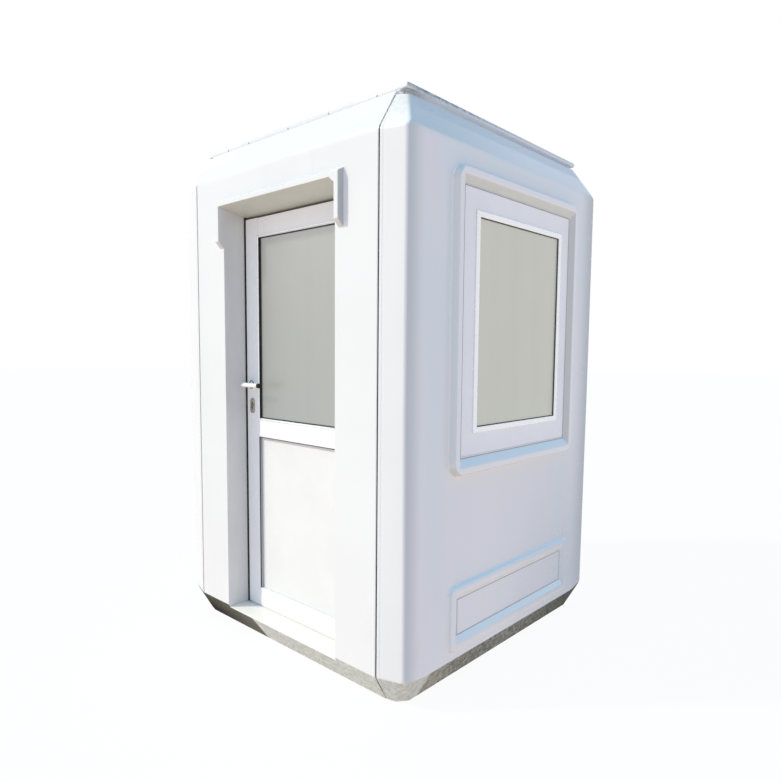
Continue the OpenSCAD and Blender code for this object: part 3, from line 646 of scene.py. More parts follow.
def finish(obj, body, slot, *nodes, material=None):
    """Paint a piece, ride it on its body and let it stand for the given nodes."""
    obj.data.materials.clear()
    obj.data.materials.append(material or MATS[slot])
    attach(obj, body)
    if nodes:
        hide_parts(*nodes)


def inner_planes(z):
    """Half-width and half-depth of the room at height z."""
    return (ROOM[0] - inset(z, Z_SIDE_FOOT, SKIRT_SIDE_IN, ROOM_LEAN),
            ROOM[1] - inset(z, Z_FOOT, SKIRT_IN, FRONT_LEAN))


# Across a corner strip, from its seam: rounded edge, bead, fine groove, plain
STRIP = np.array((0, 0.0008, 0.002, 0.0035, 0.005, 0.012, 0.0145, 0.016, 0.0175, 0.020, 0.035, 0.060, 0.085))
STRIP_EDGE_R, STRIP_SPAN = 0.004, 0.115
STRIP_GROOVE, STRIP_GROOVE_HALF, STRIP_GROOVE_D = 0.016, 0.0016, 0.0012
# Cut across the upright corners, by height, and the softness of its two ends
CORNER_CUT = {0.0: 0.034, 0.085: 0.016, 0.135: 0.0085}
CUT_SOFT, CUT_SHARE = 0.006, 0.45
# How much a corner strip drifts back, by height, and how much further it reaches on the shoulder
DRIFT = {0.15: 1, 1.15: 0}
SHOULDER_TURN = {2.186: 0.0, 2.212: 0.016, 2.352: 0.021}
# Near a corner the fold over the skirt rises
FOLD_LIFT_FRONT, FOLD_LIFT_SIDE, LIFT_REACH = 0.010, 0.020, 0.075
BEND = np.linspace(0, 1, 5)
FAN = np.array((0.06, 0.14, 0.25, 0.45, 0.70))


def side_columns():
    lines = window_lines(WIN_SHIFT, WIN_W / 2, WIN_Y) + panel_lines(WIN_SHIFT + PANEL_SHIFT, PANEL_W / 2)
    return fill([*lines, min(lines) - COLUMN_END, max(lines) + COLUMN_END])


def by_height(z, table):
    return float(np.interp(z, list(table), list(table.values())))


def bend(before, corner, after):
    """A soft turn from one point to another past a corner."""
    t = BEND[:, None]
    return (1 - t) ** 2 * before + 2 * t * (1 - t) * corner + t ** 2 * after


def corner_path(z, y_wall):
    """Outer plan from the seam round the front right corner to y_wall, at height z."""
    a = math.atan((RETURN_BACK + RETURN_DRIFT * by_height(z, DRIFT)) / RETURN_W)
    x_c = HALF_W - inset(z, Z_SIDE_FOOT + FOLD_LIFT_SIDE, SKIRT_SIDE_IN, SIDE_LEAN)
    x_0 = PANEL_HALF + SEAM / 2
    upright = math.cos(a)
    a = math.atan(math.tan(a) + by_height(z, SHOULDER_TURN) / (x_c - PANEL_HALF))

    def on_strip(x, lift):
        behind = inset(z, Z_FOOT + lift, SKIRT_IN, RETURN_LEAN) / upright
        return np.array((x, -HALF_D + behind + (x - PANEL_HALF) * math.tan(a)))

    cut = by_height(z, CORNER_CUT)
    along, outward = np.array((math.cos(a), math.sin(a))), np.array((math.sin(a), -math.cos(a)))
    aside = np.array((0, 1))
    corner = on_strip(x_c, FOLD_LIFT_FRONT)
    start, first, last = on_strip(x_0, 0), corner - cut * along, corner + cut * aside
    over = (last - first) / np.linalg.norm(last - first)
    soft = min(CUT_SOFT, CUT_SHARE * np.linalg.norm(last - first))
    arc = np.concatenate([bend(first - soft * along, first, first + soft * over),
                          bend(last - soft * over, last, last + soft * aside)])
    run = arc[0] - start
    share = np.linalg.norm(run) / STRIP_SPAN
    run = run / np.linalg.norm(run)
    drop = edge_drop(STRIP, STRIP_EDGE_R)
    drop = drop + STRIP_GROOVE_D * np.clip(1 - np.abs(STRIP - STRIP_GROOVE) / STRIP_GROOVE_HALF, 0, 1)
    strip = start + np.outer(STRIP * share, run) - np.outer(drop * min(1, share), outward)
    fan_y = arc[-1][1] + (y_wall - arc[-1][1]) * FAN
    near = np.clip(1 - (fan_y - arc[-1][1]) / LIFT_REACH, 0, 1)
    lift = FOLD_LIFT_SIDE * near * near * (3 - 2 * near)
    fan_x = HALF_W - inset(z, Z_SIDE_FOOT + lift, SKIRT_SIDE_IN, SIDE_LEAN)
    return np.concatenate([strip, arc, np.stack([fan_x, fan_y], 1)])


def corner_inner(z, y_wall, count):
    """Inner plan with as many points: along the front of the room, then along its side."""
    x_in, y_in = inner_planes(z)
    half = count // 2
    front_x = np.linspace(PANEL_HALF + SEAM / 2, x_in, half, endpoint=False)
    side_y = np.linspace(-y_in, y_wall, count - half, endpoint=False)
    front = np.stack([front_x, np.full(half, -y_in)], 1)
    return np.concatenate([front, np.stack([np.full(count - half, x_in), side_y], 1)])


def side_shell(name, mirror):
    ys, zs = side_columns(), height_lines(STRIP_TOP)
    flip = np.array((1, -1))
    outer, inner = [], []
    for z in zs:
        front, back = corner_path(z, ys[0]), corner_path(z, -ys[-1])[::-1] * flip
        x_wall = HALF_W - inset(z, Z_SIDE_FOOT, SKIRT_SIDE_IN, SIDE_LEAN)
        x_wall = x_wall + wall_height(ys - WIN_SHIFT, np.full_like(ys, z), PANEL_SHIFT)
        plan = np.concatenate([front, np.stack([x_wall, ys], 1), back])
        outer.append(np.column_stack([plan, np.full(len(plan), z)]))
        x_in = inner_planes(z)[0]
        plan = np.concatenate([corner_inner(z, ys[0], len(front)), np.stack([np.full_like(ys, x_in), ys], 1),
                               corner_inner(z, -ys[-1], len(back))[::-1] * flip])
        inner.append(np.column_stack([plan, np.full(len(plan), z)]))
    outer, inner = np.array(outer), np.array(inner)
    if mirror:
        outer[..., 0] *= -1
        inner[..., 0] *= -1
    foot, head, near, far = opening(zs, WIN_Z, ys, WIN_Y)
    return shell(name, outer, inner, (foot, head, len(front) + near, len(front) + far))


# Rounded upright edges of the front and back panels, and grid lines over them
PANEL_EDGE, PANEL_EDGE_R = (0, 0.0008, 0.002, 0.0035, 0.005, 0.010), 0.004


def back_shell(name):
    edge = PANEL_HALF - SEAM / 2
    xs = window_lines(0, WIN_W / 2, WIN_X) + panel_lines(0, PANEL_W / 2)
    for side in (-1, 1):
        xs += [side * (edge - d) for d in PANEL_EDGE]
    xs, zs = fill(xs), height_lines(Z_TOP)
    x, z = np.meshgrid(xs, zs)
    y = HALF_D - inset(z, Z_FOOT, SKIRT_IN, FRONT_LEAN) + wall_height(x, z, 0)
    y = y - edge_drop(edge - np.abs(x), PANEL_EDGE_R)
    outer, inner = np.stack([x, y, z], -1), np.stack([x, inner_planes(z)[1], z], -1)
    return shell(name, outer, inner, opening(zs, WIN_Z, xs, WIN_X))


HOOD_DRAFT, HOOD_SOFT, HOOD_FOOT_SOFT = 0.0035, 0.0045, 0.003
HOOD_LEFT = (-DOOR_HALF - HOOD_LEG_W, -DOOR_HALF)
HOOD_RIGHT = (DOOR_HALF + HOOD_STEP, DOOR_HALF + HOOD_STEP + HOOD_LEG_W)
HOOD_TOP, HOOD_FOOT = Z_HEAD + HOOD_FACE + HOOD_SLOPE, Z_HEAD - HOOD_LEG_H
FAR_BELOW, FAR_ABOVE = -1.0, 1.0
# Rounded edge of the doorway with its grid lines, and how far other lines keep from them
DOORWAY_EDGE_R, DOORWAY_LINES = 0.003, (0, 0.0008, 0.0018, 0.003, 0.005, 0.008)
CLEAR_X, CLEAR_Z = 0.0006, 0.002
# Grid steps across the hood's inner corner, and the reach of the rows that follow the falling head
HOOD_ROWS, HOOD_COLUMNS, HEAD_REACH = 16, 12, 1.3 * HOOD_STEP
# The front comes closer to the corner strips over this height at the fold and this width of its edge
CLOSER_Z, CLOSER_FROM, CLOSER_W = (Z_FOLD - 0.01, Z_FOLD + 0.015), 0.03, 0.02
# Depth of the first row in the reveal, rise of the sill in it, and drop of the lining under the sill
REVEAL_Y, SILL_RISE, SILL_LINING = -0.757, 0.001, 0.02


def hood_height(x, z):
    """Height of the hood over the front: two legs and the bar that joins them."""
    steep = HOOD_OUT / HOOD_DRAFT
    face = np.full_like(x, HOOD_OUT)
    top = (HOOD_TOP - z) * HOOD_OUT / HOOD_SLOPE
    foot = z - HOOD_FOOT
    from_left, from_right = (x - HOOD_LEFT[0]) * steep, (HOOD_RIGHT[1] - x) * steep
    left = np.where(x <= HOOD_LEFT[1] + TINY, low(from_left, foot, HOOD_SOFT), FAR_BELOW)
    gusset = np.clip(1 + (z - Z_HEAD) / HOOD_STEP, 0, 1) * (HOOD_STEP + 2 * HOOD_DRAFT)
    right = low(low((x - HOOD_RIGHT[0] + gusset) * steep, from_right, HOOD_SOFT), foot, HOOD_SOFT)
    beside = np.where(np.abs(x) > DOOR_HALF + TINY, (z - Z_HEAD + HOOD_DRAFT) * steep, FAR_ABOVE)
    across = low(low(from_left, from_right, HOOD_SOFT), beside, HOOD_SOFT)
    across = np.where(z >= Z_HEAD - TINY - HOOD_DRAFT, across, FAR_BELOW)
    form = np.maximum(np.maximum(left, right), across)
    form = low(low(form, face, HOOD_SOFT), top, HOOD_SOFT)
    return high(form, 0 * form, HOOD_FOOT_SOFT)


def head_fall(y):
    """How much the head of the doorway has come down at a depth."""
    return (Z_HEAD - Z_HEAD_IN) * np.minimum(1, (y + HALF_D + HOOD_OUT) / (LEAF_Y + HALF_D + HOOD_OUT))


def under_head(x, z):
    """Whether a point of the doorway's edge lies just under the head, where the grid follows its fall."""
    return (np.abs(np.abs(x) - DOOR_HALF) < TINY) & (z > Z_HEAD - HEAD_REACH) & (z < Z_HEAD - TINY)


def front_shell(name):
    edge = PANEL_HALF - SEAM / 2
    xs, zs = [], [*height_lines(Z_TOP)]
    for side in (-1, 1):
        xs += [side * (edge - d) for d in PANEL_EDGE] + [side * (DOOR_HALF + d) for d in DOORWAY_LINES]
    for x in (*HOOD_LEFT, *HOOD_RIGHT):
        xs += [x + HOOD_DRAFT * k / 2 for k in range(-3, 4)]
    xs = [x for x in xs if abs(abs(x) - DOOR_HALF) > CLEAR_X] + [-DOOR_HALF, DOOR_HALF]
    xs += [DOOR_HALF + HOOD_STEP * k / HOOD_COLUMNS for k in range(5, HOOD_COLUMNS)]
    zs = [z for z in zs if min(abs(z - Z_SILL), abs(z - Z_HEAD)) > CLEAR_Z]
    zs += [Z_SILL - d for d in DOORWAY_LINES] + [Z_HEAD + d for d in DOORWAY_LINES]
    zs += [Z_HEAD - HOOD_STEP * k / HOOD_ROWS for k in range(HOOD_ROWS + 1)]
    zs += [z + d for z in (HOOD_FOOT, HOOD_FOOT + HOOD_OUT, Z_HEAD + HOOD_FACE, HOOD_TOP) for d in FINE]
    xs, zs = fill(xs), fill(zs)
    x, z = np.meshgrid(xs, zs)
    y = -HALF_D + inset(z, Z_FOOT, SKIRT_IN, FRONT_LEAN) - hood_height(x, z)
    y = y + edge_drop(edge - np.abs(x), PANEL_EDGE_R)
    out = np.maximum(np.abs(x) - DOOR_HALF, np.maximum(Z_SILL - z, z - Z_HEAD))
    y = y + edge_drop(np.maximum(out, 0), DOORWAY_EDGE_R)
    # on the shoulder the panel comes closer to the corner strips
    closer = np.interp(z, CLOSER_Z, (0, SEAM - SHOULDER_SEAM))
    closer = closer * np.clip((np.abs(x) - edge + CLOSER_FROM) / CLOSER_W, 0, 1)
    outer = np.stack([x + np.sign(x) * closer, y, z - np.where(under_head(x, z), head_fall(y), 0)], -1)
    # behind, the grid makes room for the lining round the doorway
    lining_half, lining_foot, lining_head = DOOR_HALF + LINING_T, Z_SILL - SILL_LINING, Z_HEAD_IN + LINING_T
    wide = np.interp(np.abs(x), (DOOR_HALF, edge), (lining_half, edge)) * np.sign(x)
    wide = np.where(np.abs(x) < DOOR_HALF, x * lining_half / DOOR_HALF, wide)
    tall = np.interp(z, (0, Z_SILL, Z_HEAD, Z_TOP), (0, lining_foot, lining_head, Z_TOP))
    inner = np.stack([wide, -inner_planes(tall)[1], tall], -1)
    hole = opening(zs, (Z_SILL, Z_HEAD), xs, (-DOOR_HALF, DOOR_HALF))

    def reveal(level):
        def move(px, py, pz):
            row = pz + head_fall(py) if under_head(px, pz) else pz
            sill, head = Z_SILL + SILL_RISE, Z_HEAD - head_fall(level)
            return px, level, sill + (row - Z_SILL) * (head - sill) / (Z_HEAD - Z_SILL)
        return move

    def lining_back(px, py, pz):
        share = (pz - Z_SILL) / (Z_HEAD - Z_SILL)
        return px * lining_half / DOOR_HALF, LINING_Y, lining_foot + share * (lining_head - lining_foot)

    return shell(name, outer, inner, hole, (reveal(REVEAL_Y), reveal(LEAF_Y), reveal(LINING_Y), lining_back))


# Filler in the seams: half-width as a share of the seam, columns, gap under its top, depth and hollow
SEAL_HALF, SEAL_COLUMNS, SEAL_GAP, SEAL_DEPTH, SEAL_HOLLOW = 0.53, 5, 0.002, 0.0035, 0.0015


def seam_seal(name, side, front):
    """Dark filler in the open seam between a panel and a corner strip, with a hollow face."""
    xs = PANEL_HALF + SEAM * np.linspace(-SEAL_HALF, SEAL_HALF, SEAL_COLUMNS)
    zs = height_lines(STRIP_TOP)[::2]
    zs[-1] = STRIP_TOP - SEAL_GAP
    x, z = np.meshgrid(xs, zs)
    hollow = SEAL_DEPTH + SEAL_HOLLOW * np.cos((x - PANEL_HALF) / SEAM * math.pi)
    y = HALF_D - inset(z, Z_FOOT, SKIRT_IN, FRONT_LEAN) - hollow
    outer = np.stack([side * x, front * y, z], -1)
    inner = np.stack([side * x, front * inner_planes(z)[1], z], -1)
    return shell(name, outer, inner)


# Roof, from the neck up: how far a ring lies inside the lip at the sides and in front, height, radius
LIP_R = 0.007
ROOF_RINGS = [
    (0.014, -0.004, STRIP_TOP - 0.004, 0.036), (0.018, 0.0004, STRIP_TOP + 0.004, 0.036),
    (0.0205, 0.0012, STRIP_TOP + 0.010, 0.036), (0.0195, 0.0012, STRIP_TOP + 0.016, 0.034),
    (0.013, 0.0012, Z_LIP - 0.0035, 0.027), (0.006, 0.0010, Z_LIP - 0.0012, 0.018),
    (0.0016, 0.0008, Z_LIP, 0.010), (0.0003, 0.0003, Z_LIP + 0.0012, 0.008), (0, 0, Z_LIP + 0.003, LIP_R),
    (0, 0, Z_ROOF - 0.004, LIP_R), (0.0006, 0.0006, Z_ROOF - 0.002, LIP_R),
    (0.002, 0.002, Z_ROOF - 0.0005, LIP_R), (0.004, 0.004, Z_ROOF, LIP_R)]
# Rings of the crown, as a share of the way to the middle, and how much flatter it gets there
CROWN, CROWN_FLAT = (0.05, 0.2, 0.4, 0.6, 0.8, 0.95), 0.1
ROOF_ARC, ROOF_RUN = 6, 10


def fall_back(y, z):
    """How much the lip falls towards the back."""
    return ROOF_FALL * (0.5 + y / LIP[1] / 2) * min(1, max(0, (z - STRIP_TOP) / (Z_LIP - STRIP_TOP)))


def roof_shell(name):
    """Roof cap: cove at the sides, lip with rounded edges, shallow crown."""
    rings = ROOF_RINGS + [
        (LIP[0] * t, LIP[1] * t, Z_ROOF + ROOF_RISE * (t - CROWN_FLAT * t * t) / (1 - CROWN_FLAT),
         LIP_R * (1 - t)) for t in CROWN]
    points = []
    for side_in, front_in, z, r in rings:
        hx, hy = LIP[0] - side_in - r, LIP[1] - front_in - r
        corners = []
        for q, (sx, sy) in enumerate(((1, -1), (1, 1), (-1, 1), (-1, -1))):
            turns = [(q - 1 + k / ROOF_ARC) * math.pi / 2 for k in range(ROOF_ARC + 1)]
            corners.append([np.array((sx * hx + r * math.cos(a), sy * hy + r * math.sin(a))) for a in turns])
        for here, after in zip(corners, corners[1:] + corners[:1]):
            straight = [here[-1] + (after[0] - here[-1]) * k / ROOF_RUN for k in range(1, ROOF_RUN)]
            points += [(*p, z - fall_back(p[1], z)) for p in here + straight]
    n = len(points) // len(rings)
    rows = [range(k * n, (k + 1) * n) for k in range(len(rings))]
    faces = [tuple(reversed(rows[0])), tuple(rows[-1])]
    for a, b in zip(rows, rows[1:]):
        faces += band(a, b)
    return solid(name, points, faces)


# Small pieces


def mitred_ring(name, half_w, half_h, mid_z, face, profile, place=None):
    """A frame with mitred corners in a wall that faces -Y, from (inset, depth) points in order."""
    points, faces = [], []
    n = len(profile)
    for sx, sz in ((-1, -1), (1, -1), (1, 1), (-1, 1)):
        points += [(sx * (half_w - o), face + d, mid_z + sz * (half_h - o)) for o, d in profile]
    rows = [range(q * n, (q + 1) * n) for q in range(4)]
    for a, b in zip(rows, rows[1:] + rows[:1]):
        faces += band(a, b)
    if place is not None:
        points = [tuple(place @ Vector(p)) for p in points]
    return solid(name, points, faces, BAR_SHARP)


def turned(name, profile, place, steps=24, ring=False):
    """A piece turned round the place's Z axis from (radius, height) points; a ring's profile is closed."""
    points, faces = [], []
    n = len(profile)
    for k in range(steps):
        c, s = math.cos(2 * math.pi * k / steps), math.sin(2 * math.pi * k / steps)
        points += [tuple(place @ Vector((r * c, r * s, h))) for r, h in profile]
    for k in range(steps):
        a, b = k * n, (k + 1) % steps * n
        faces += [(a + i, b + i, b + (i + 1) % n, a + (i + 1) % n) for i in range(n if ring else n - 1)]
    if not ring:
        faces.append(tuple(k * n for k in range(steps)))
        faces.append(tuple(k * n + n - 1 for k in reversed(range(steps))))
    return solid(name, points, faces, TURNED_SHARP)


def joined(name, parts):
    """One mesh from several objects."""
    bm = bmesh.new()
    for part in parts:
        bm.from_mesh(part.data)
        bpy.data.objects.remove(part)
    return shown(name, bpy.data.meshes.new(name), bm, TURNED_SHARP)


def bar(name, x, y, z, r):
    """A straight bar with rounded edges, between two places on each axis."""
    bm = bmesh.new()
    bmesh.ops.create_cube(bm, size=1)
    for v in bm.verts:
        v.co = Vector(a + (c + 0.5) * (b - a) for c, (a, b) in zip(v.co, (x, y, z)))
    bmesh.ops.bevel(bm, geom=bm.edges[:], offset=r, segments=2, profile=0.5, affect="EDGES")
    return shown(name, bpy.data.meshes.new(name), bm, BAR_SHARP)


def uprights(half, out, over, y, z, r):
    """Two mirrored upright bars at an edge, with their reach outwards and inwards from it."""
    return [bar("strip", x, y, z, r) for x in ((-half - out, over - half), (half - over, half + out))]


def level(name, half, y, z, r):
    """A level bar across the middle."""
    return bar(name, (-half, half), y, z, r)


def facing(x, y, z, axis):
    """Place whose Z axis points along the given axis."""
    return Matrix.Translation((x, y, z)) @ Vector(axis).to_track_quat("Z", "Y").to_matrix().to_4x4()


WALL_PLACES = {
    "right": Matrix.Translation((HALF_W, WIN_SHIFT, 0)) @ Matrix.Rotation(math.pi / 2, 4, "Z"),
    "left": Matrix.Translation((-HALF_W, WIN_SHIFT, 0)) @ Matrix.Rotation(-math.pi / 2, 4, "Z"),
    "back": Matrix.Translation((0, HALF_D, 0)) @ Matrix.Rotation(math.pi, 4, "Z"),
}
PANEL_ASIDE = {"right": PANEL_SHIFT, "left": -PANEL_SHIFT, "back": 0}


def make_shells():
    finish(front_shell("front_shell"), "booth", "gelcoat",
           "front_left_pillar", "front_right_pillar", "front_head", "door_sill")
    finish(side_shell("right_shell", False), "booth", "gelcoat", "right_wall")
    finish(side_shell("left_shell", True), "booth", "gelcoat", "left_wall")
    finish(back_shell("back_shell"), "booth", "gelcoat", "back_wall")
    finish(roof_shell("roof_shell"), "booth", "roof_gelcoat", "roof_cap")
    for side, side_name in ((1, "right"), (-1, "left")):
        for front, front_name in ((-1, "front"), (1, "back")):
            seal = seam_seal(f"seam_seal_{front_name}_{side_name}", side, front)
            finish(seal, "booth", "gasket", material=SEAM_FILLER)


# Beads and lines round a frame: (inset, depth) points
WINDOW_BEAD = ((-0.0016, 0.002), (-0.0016, -0.0006), (-0.0004, -0.0016), (0.0012, -0.0014),
               (0.0022, -0.0002), (0.0022, 0.002))
PANEL_LINE = ((-0.0004, 0.002), (-0.0004, -0.0004), (GROOVE_W, -0.0004), (GROOVE_W, 0.002))
GLAZING_BEAD = ((-0.0052, 0.001), (-0.0052, -0.0006), (-0.004, -0.0018), (-0.0015, -0.0022),
                (0.0008, -0.0012), (0.0018, 0.001), (0.0018, 0.0026), (-0.0005, 0.0026))
DOOR_PANEL_BEAD = ((0, -0.002), (0.0016, -0.002), (0.0032, 0.0004), (0, 0.0004))
# The sealant of a window lies a little inside its surround, and a little lower
SEALANT_IN, SEALANT_DROP = 0.004, 0.001


def make_window_trim():
    """Sealant round the window frames, and a dark line in the groove of the lower panels."""
    half_w, half_h = WIN_W / 2, SURROUND_H / 2 - SEALANT_IN
    for side, place in WALL_PLACES.items():
        bead = mitred_ring(f"{side}_window_sealant", half_w, half_h, SURROUND_MID - SEALANT_DROP, -FIXED_OUT,
                           WINDOW_BEAD, place)
        finish(bead, "booth", "gasket", material=SEALANT)
    half_w, half_h = PANEL_W / 2 - PANEL_BAND, PANEL_H / 2 - PANEL_BAND
    for side, place in WALL_PLACES.items():
        line = mitred_ring(f"{side}_panel_line", half_w, half_h, PANEL_MID, 0, PANEL_LINE,
                           place @ Matrix.Translation((PANEL_ASIDE[side], 0, 0)))
        finish(line, "booth", "gasket", material=SEALANT)


TAPE_Y = (FRAME_Y - 0.0045, FRAME_Y + 0.001)
# Pairs of upright strips: the edge they lie at, reach outwards and inwards, depths, heights, rounding
GLAZING_LINING = (INFILL_HALF, 0.0002, 0.0026, (LEAF_Y + 0.0026, LEAF_Y + 0.010),
                  (GLASS_Z0, GLASS_Z1), 0.0005)
PANEL_SHADOW_CHANNEL = (INFILL_HALF, 0.0002, 0.0050, (LEAF_Y + 0.004, INFILL_Y + 0.0004),
                 (DOOR_PANEL_Z0 + 0.002, DOOR_PANEL_Z1 - 0.002), 0.0006)
PANEL_LIP = (INFILL_HALF, 0.0008, 0.0022, (LEAF_Y - 0.0004, LEAF_Y + 0.0045),
             (DOOR_PANEL_Z0 + 0.001, DOOR_PANEL_Z1 - 0.001), 0.0006)
FRAME_TAPE = (DOOR_HALF, -0.001, 0.022, TAPE_Y, (Z_SILL + 0.004, Z_HEAD_IN - 0.002), 0.0015)
DOORWAY_TAPE = (DOOR_HALF, 0.001, 0.0025, (LEAF_Y - 0.004, TAPE_Y[0] + 0.001),
                (Z_SILL + 0.004, Z_HEAD_IN), 0.0008)
# Level strips: half-width, depths, heights, rounding
COVERS = [(INFILL_HALF - 0.0024, (LEAF_Y + 0.004, INFILL_Y - 0.0002), z, 0.0008)
          for z in ((GLASS_Z0 - 0.0005, GLASS_Z0 + 0.0040), (GLASS_Z1 - 0.0040, GLASS_Z1 + 0.0005))]
PANEL_TOP = (INFILL_HALF, (LEAF_Y + 0.001, INFILL_Y), (DOOR_PANEL_Z1 - 0.0022, DOOR_PANEL_Z1 + 0.0008),
             0.0006)
SWEEP = (LEAF_HALF - 0.006, (LEAF_Y + 0.003, LEAF_Y + 0.022), (LEAF_Z0 - 0.0050, LEAF_Z0 + 0.001), 0.0008)
FRAME_HEAD_TAPE = (DOOR_HALF - 0.002, TAPE_Y, (Z_HEAD_IN - 0.024, Z_HEAD_IN - 0.001), 0.0015)
DOORWAY_HEAD_TAPE = (DOOR_HALF, (LEAF_Y + 0.030, TAPE_Y[0] + 0.001), (Z_HEAD_IN - 0.0025, Z_HEAD_IN + 0.002),
                     0.0008)


def make_door_trim():
    # black lining at the sides of the glazing recess, white covers at its head and foot, a bead round it
    finish(joined("door_glazing_lining", uprights(*GLAZING_LINING)), "door_leaf", "gasket")
    finish(joined("door_glazing_cover", [level("strip", *c) for c in COVERS]), "door_leaf", "door_profile")
    mid, half = (GLASS_Z0 + GLASS_Z1) / 2, (GLASS_Z1 - GLASS_Z0) / 2
    bead = mitred_ring("door_glazing_bead", INFILL_HALF, half, mid, LEAF_Y, GLAZING_BEAD)
    finish(bead, "door_leaf", "door_profile", material=MATS["sash"])
    # lower panel: pale sealant all round, a dark line under the middle rail,
    # a black lip at each side and beside it a grey channel that paints the shadow in the side of the recess
    mid, half = (DOOR_PANEL_Z0 + DOOR_PANEL_Z1) / 2, (DOOR_PANEL_Z1 - DOOR_PANEL_Z0) / 2
    line = mitred_ring("door_panel_line", INFILL_HALF, half, mid, INFILL_Y, DOOR_PANEL_BEAD)
    finish(line, "door_leaf", "gasket", material=PALE_SEALANT)
    finish(joined("door_panel_shadow_channel", uprights(*PANEL_SHADOW_CHANNEL)), "door_leaf", "gasket", material=SEALANT)
    lips = [level("strip", *PANEL_TOP), *uprights(*PANEL_LIP)]
    finish(joined("door_panel_lip", lips), "door_leaf", "gasket")
    # white sweep under the leaf
    finish(level("door_sweep", *SWEEP), "door_leaf", "door_profile")
    # foam tape on the frame, behind the edges of the leaf, and on the doorway, round the leaf; its dark
    # colour also paints the shadow in those gaps
    strips = [*uprights(*FRAME_TAPE), *uprights(*DOORWAY_TAPE)]
    strips += [level("strip", *tape) for tape in (FRAME_HEAD_TAPE, DOORWAY_HEAD_TAPE)]
    finish(joined("door_gap_shade_tape", strips), "booth", "gasket", material=GAP_SHADE_FOAM)


# Turned pieces: (radius, height) points
LEVER_CAP = ((LEVER_R + 0.0008, -0.009), (LEVER_R + 0.0008, 0.0012), (LEVER_R - 0.001, 0.0028),
             (0.0005, 0.0034))
ROSETTE_RING = ((0.0165, 0.0), (0.0205, 0.0), (0.0203, 0.0016), (0.0185, 0.0026), (0.0168, 0.0020))
LOCK_CORE = ((KEY_W * 0.48, -KEY_D), (KEY_W * 0.48, 0.0004), (KEY_W * 0.42, 0.0012), (KEY_W * 0.30, 0.0014))
SCREW_HEAD = ((0.0038, -0.001), (0.0038, 0.0006), (0.0032, 0.0015), (0.0020, 0.0021), (0.0005, 0.0023))
RING_STEPS, SCREW_STEPS = 32, 12
# Inlay of the lock and its key slit: half-width, half-height, depths from the plate's face, rounding
LOCK_INLAY, KEY_SLIT = (0.0036, 0.0155, (-0.0006, 0.001), 0.0030), (0.0009, 0.0034, (-0.0018, 0.0002), 0.0002)
# Screws along the roof's lip: places, and height over the foot of the lip
LIP_SCREWS, SCREW_RISE = (-0.499, -0.326, -0.029, 0.240, 0.517), 0.005


def make_handle_trim():
    x, z = HANDLE
    for name, face, out in (("outside", LEAF_Y, -1), ("inside", LEAF_BACK, 1)):
        place = facing(x + LEVER_L, face + out * (LEVER_OUT - LEVER_R), z, (1, 0, 0))
        finish(turned(f"lever_end_{name}", LEVER_CAP, place), "door_lever", "gasket")
        place = facing(x, face + out * PLATE_T, z, (0, out, 0))
        ring = turned(f"rosette_ring_{name}", ROSETTE_RING, place, RING_STEPS, True)
        finish(ring, "door_leaf", "gasket")
    y, z = LEAF_Y - PLATE_T, z - LOCK_DROP
    core = turned("lock_core", LOCK_CORE, facing(x, y, z, (0, -1, 0)))
    finish(core, "door_leaf", "lock_plate", material=KEY_BRASS)

    def on_plate(name, half_w, half_h, depths, r):
        return bar(name, (x - half_w, x + half_w), [y + d for d in depths], (z - half_h, z + half_h), r)

    finish(on_plate("lock_inlay", *LOCK_INLAY), "door_leaf", "lock_plate", material=DARK_BRASS)
    finish(on_plate("key_slit", *KEY_SLIT), "door_leaf", "gasket")


def make_screws():
    z = Z_LIP + SCREW_RISE
    parts = []
    for x in LIP_SCREWS:
        for place in (facing(x, -LIP[1], z, (0, -1, 0)), facing(-x, LIP[1], z - ROOF_FALL, (0, 1, 0))):
            parts.append(turned("screw", SCREW_HEAD, place, SCREW_STEPS))
    finish(joined("roof_screws", parts), "booth", "hinge", material=SCREW_STEEL)


make_shells()
make_window_trim()
make_door_trim()
make_handle_trim()
make_screws()


# Stage: pale floor, soft light, white surroundings
WHITE = (1, 1, 1)
SKY_HIGH, SKY_LOW = (0.08, 0.34, 0.66), (0.35, 0.52, 0.70)
FRONT_FILL = (0.36, 0.35, 0.33)
GROUND, FLOOR_PALE = (1.02, 0.852, 0.780), (1.0, 0.99, 0.96)
FLOOR_HALF, FLOOR_DROP, FLOOR_SHADE = 40.0, 0.0005, 0.06
SUN_AZ, SUN_EL, SUN_SPREAD, SUN_FAR = 43.0, 38.0, 4, 6
SUN_POWER, SUN_COLOUR = 2.27, (1.0, 0.95, 0.77)


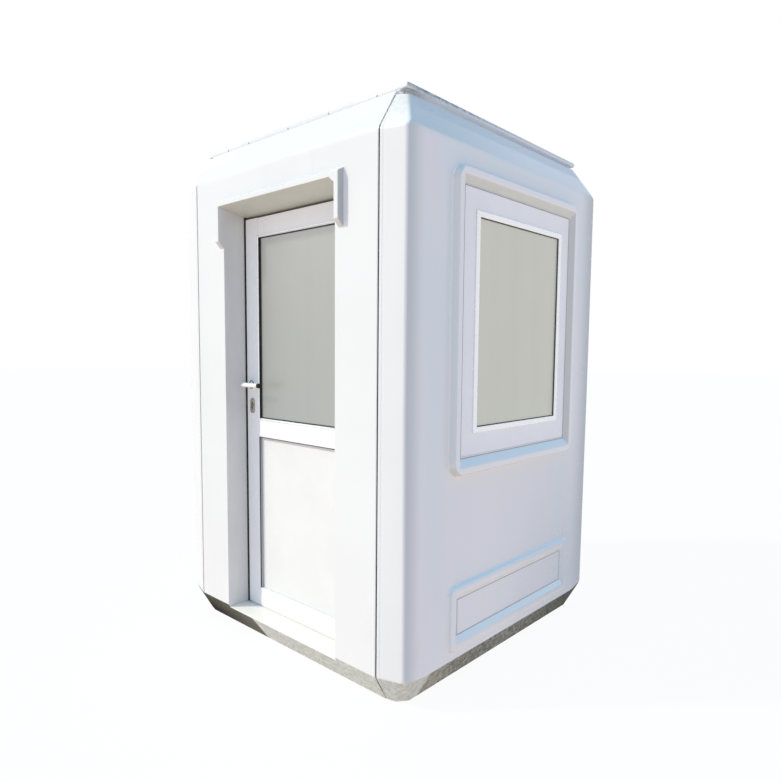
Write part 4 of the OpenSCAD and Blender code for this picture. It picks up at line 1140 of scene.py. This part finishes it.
def make_camera():
    data = bpy.data.cameras.new("photo_camera")
    cam = linked("photo_camera", data)
    yaw, pitch, roll = (math.radians(a) for a in (CAM_YAW, 90 + CAM_PITCH, CAM_ROLL))
    cam.matrix_world = Matrix.Translation(CAM_POS)
    for angle, axis in ((yaw, "Z"), (pitch, "X"), (roll, "Z")):
        cam.matrix_world = cam.matrix_world @ Matrix.Rotation(angle, 4, axis)
    data.sensor_width = SENSOR
    data.lens = SENSOR * FOCAL_PX / FRAME_PX
    data.shift_y = (CENTRE_Y_PX - FRAME_PX / 2) / FRAME_PX
    data.clip_end = CLIP_END
    SCENE.camera = cam


def make_world():
    SCENE.world = bpy.data.worlds.new("studio")
    t = Tree(SCENE.world)
    t.tree.nodes.clear()
    _, y, z = t.split(t.node("TexCoord")["Generated"])
    tone = t.mix(z, SKY_LOW, SKY_HIGH)
    # a white fill from in front of the door
    tone = t.mix(t.ramp(y, -1.0, 0.0, 1.0, 0.0, "LINEAR"), tone, FRONT_FILL, "ADD")
    sky, white = (t.node("Background", {0: colour})[0] for colour in (tone, WHITE))
    t.node("OutputWorld", {0: t.node("MixShader", {0: t.seen_directly(), 1: sky, 2: white})[0]})


def make_floor():
    r = FLOOR_HALF
    mesh = bpy.data.meshes.new("studio_floor")
    mesh.from_pydata([(-r, -r, 0), (r, -r, 0), (r, r, 0), (-r, r, 0)], [], [(0, 1, 2, 3)])
    floor = linked("studio_floor", mesh)
    floor.location.z = -FLOOR_DROP
    material = bpy.data.materials.new("studio_floor")
    t = Tree(material)
    t.tree.nodes.clear()
    glow, white = (t.node("Emission", {0: colour})[0] for colour in (GROUND, WHITE))
    pale = t.node("BsdfDiffuse", {0: FLOOR_PALE})[0]
    shade = t.node("MixShader", {0: FLOOR_SHADE, 1: white, 2: pale})[0]
    t.node("OutputMaterial", {0: t.node("MixShader", {0: t.seen_directly(), 1: glow, 2: shade})[0]})
    mesh.materials.append(material)


def make_sun():
    data = bpy.data.lights.new("key", "SUN")
    data.energy = SUN_POWER
    data.angle = math.radians(SUN_SPREAD)
    data.color = SUN_COLOUR
    sun = linked("key", data)
    az, el = math.radians(SUN_AZ), math.radians(SUN_EL)
    towards = Vector((-math.sin(az) * math.cos(el), -math.cos(az) * math.cos(el), math.sin(el)))
    sun.rotation_euler = towards.to_track_quat("Z", "Y").to_euler()
    sun.location = towards * SUN_FAR


make_camera()
make_world()
make_floor()
make_sun()
SCENE.view_settings.view_transform = "Standard"
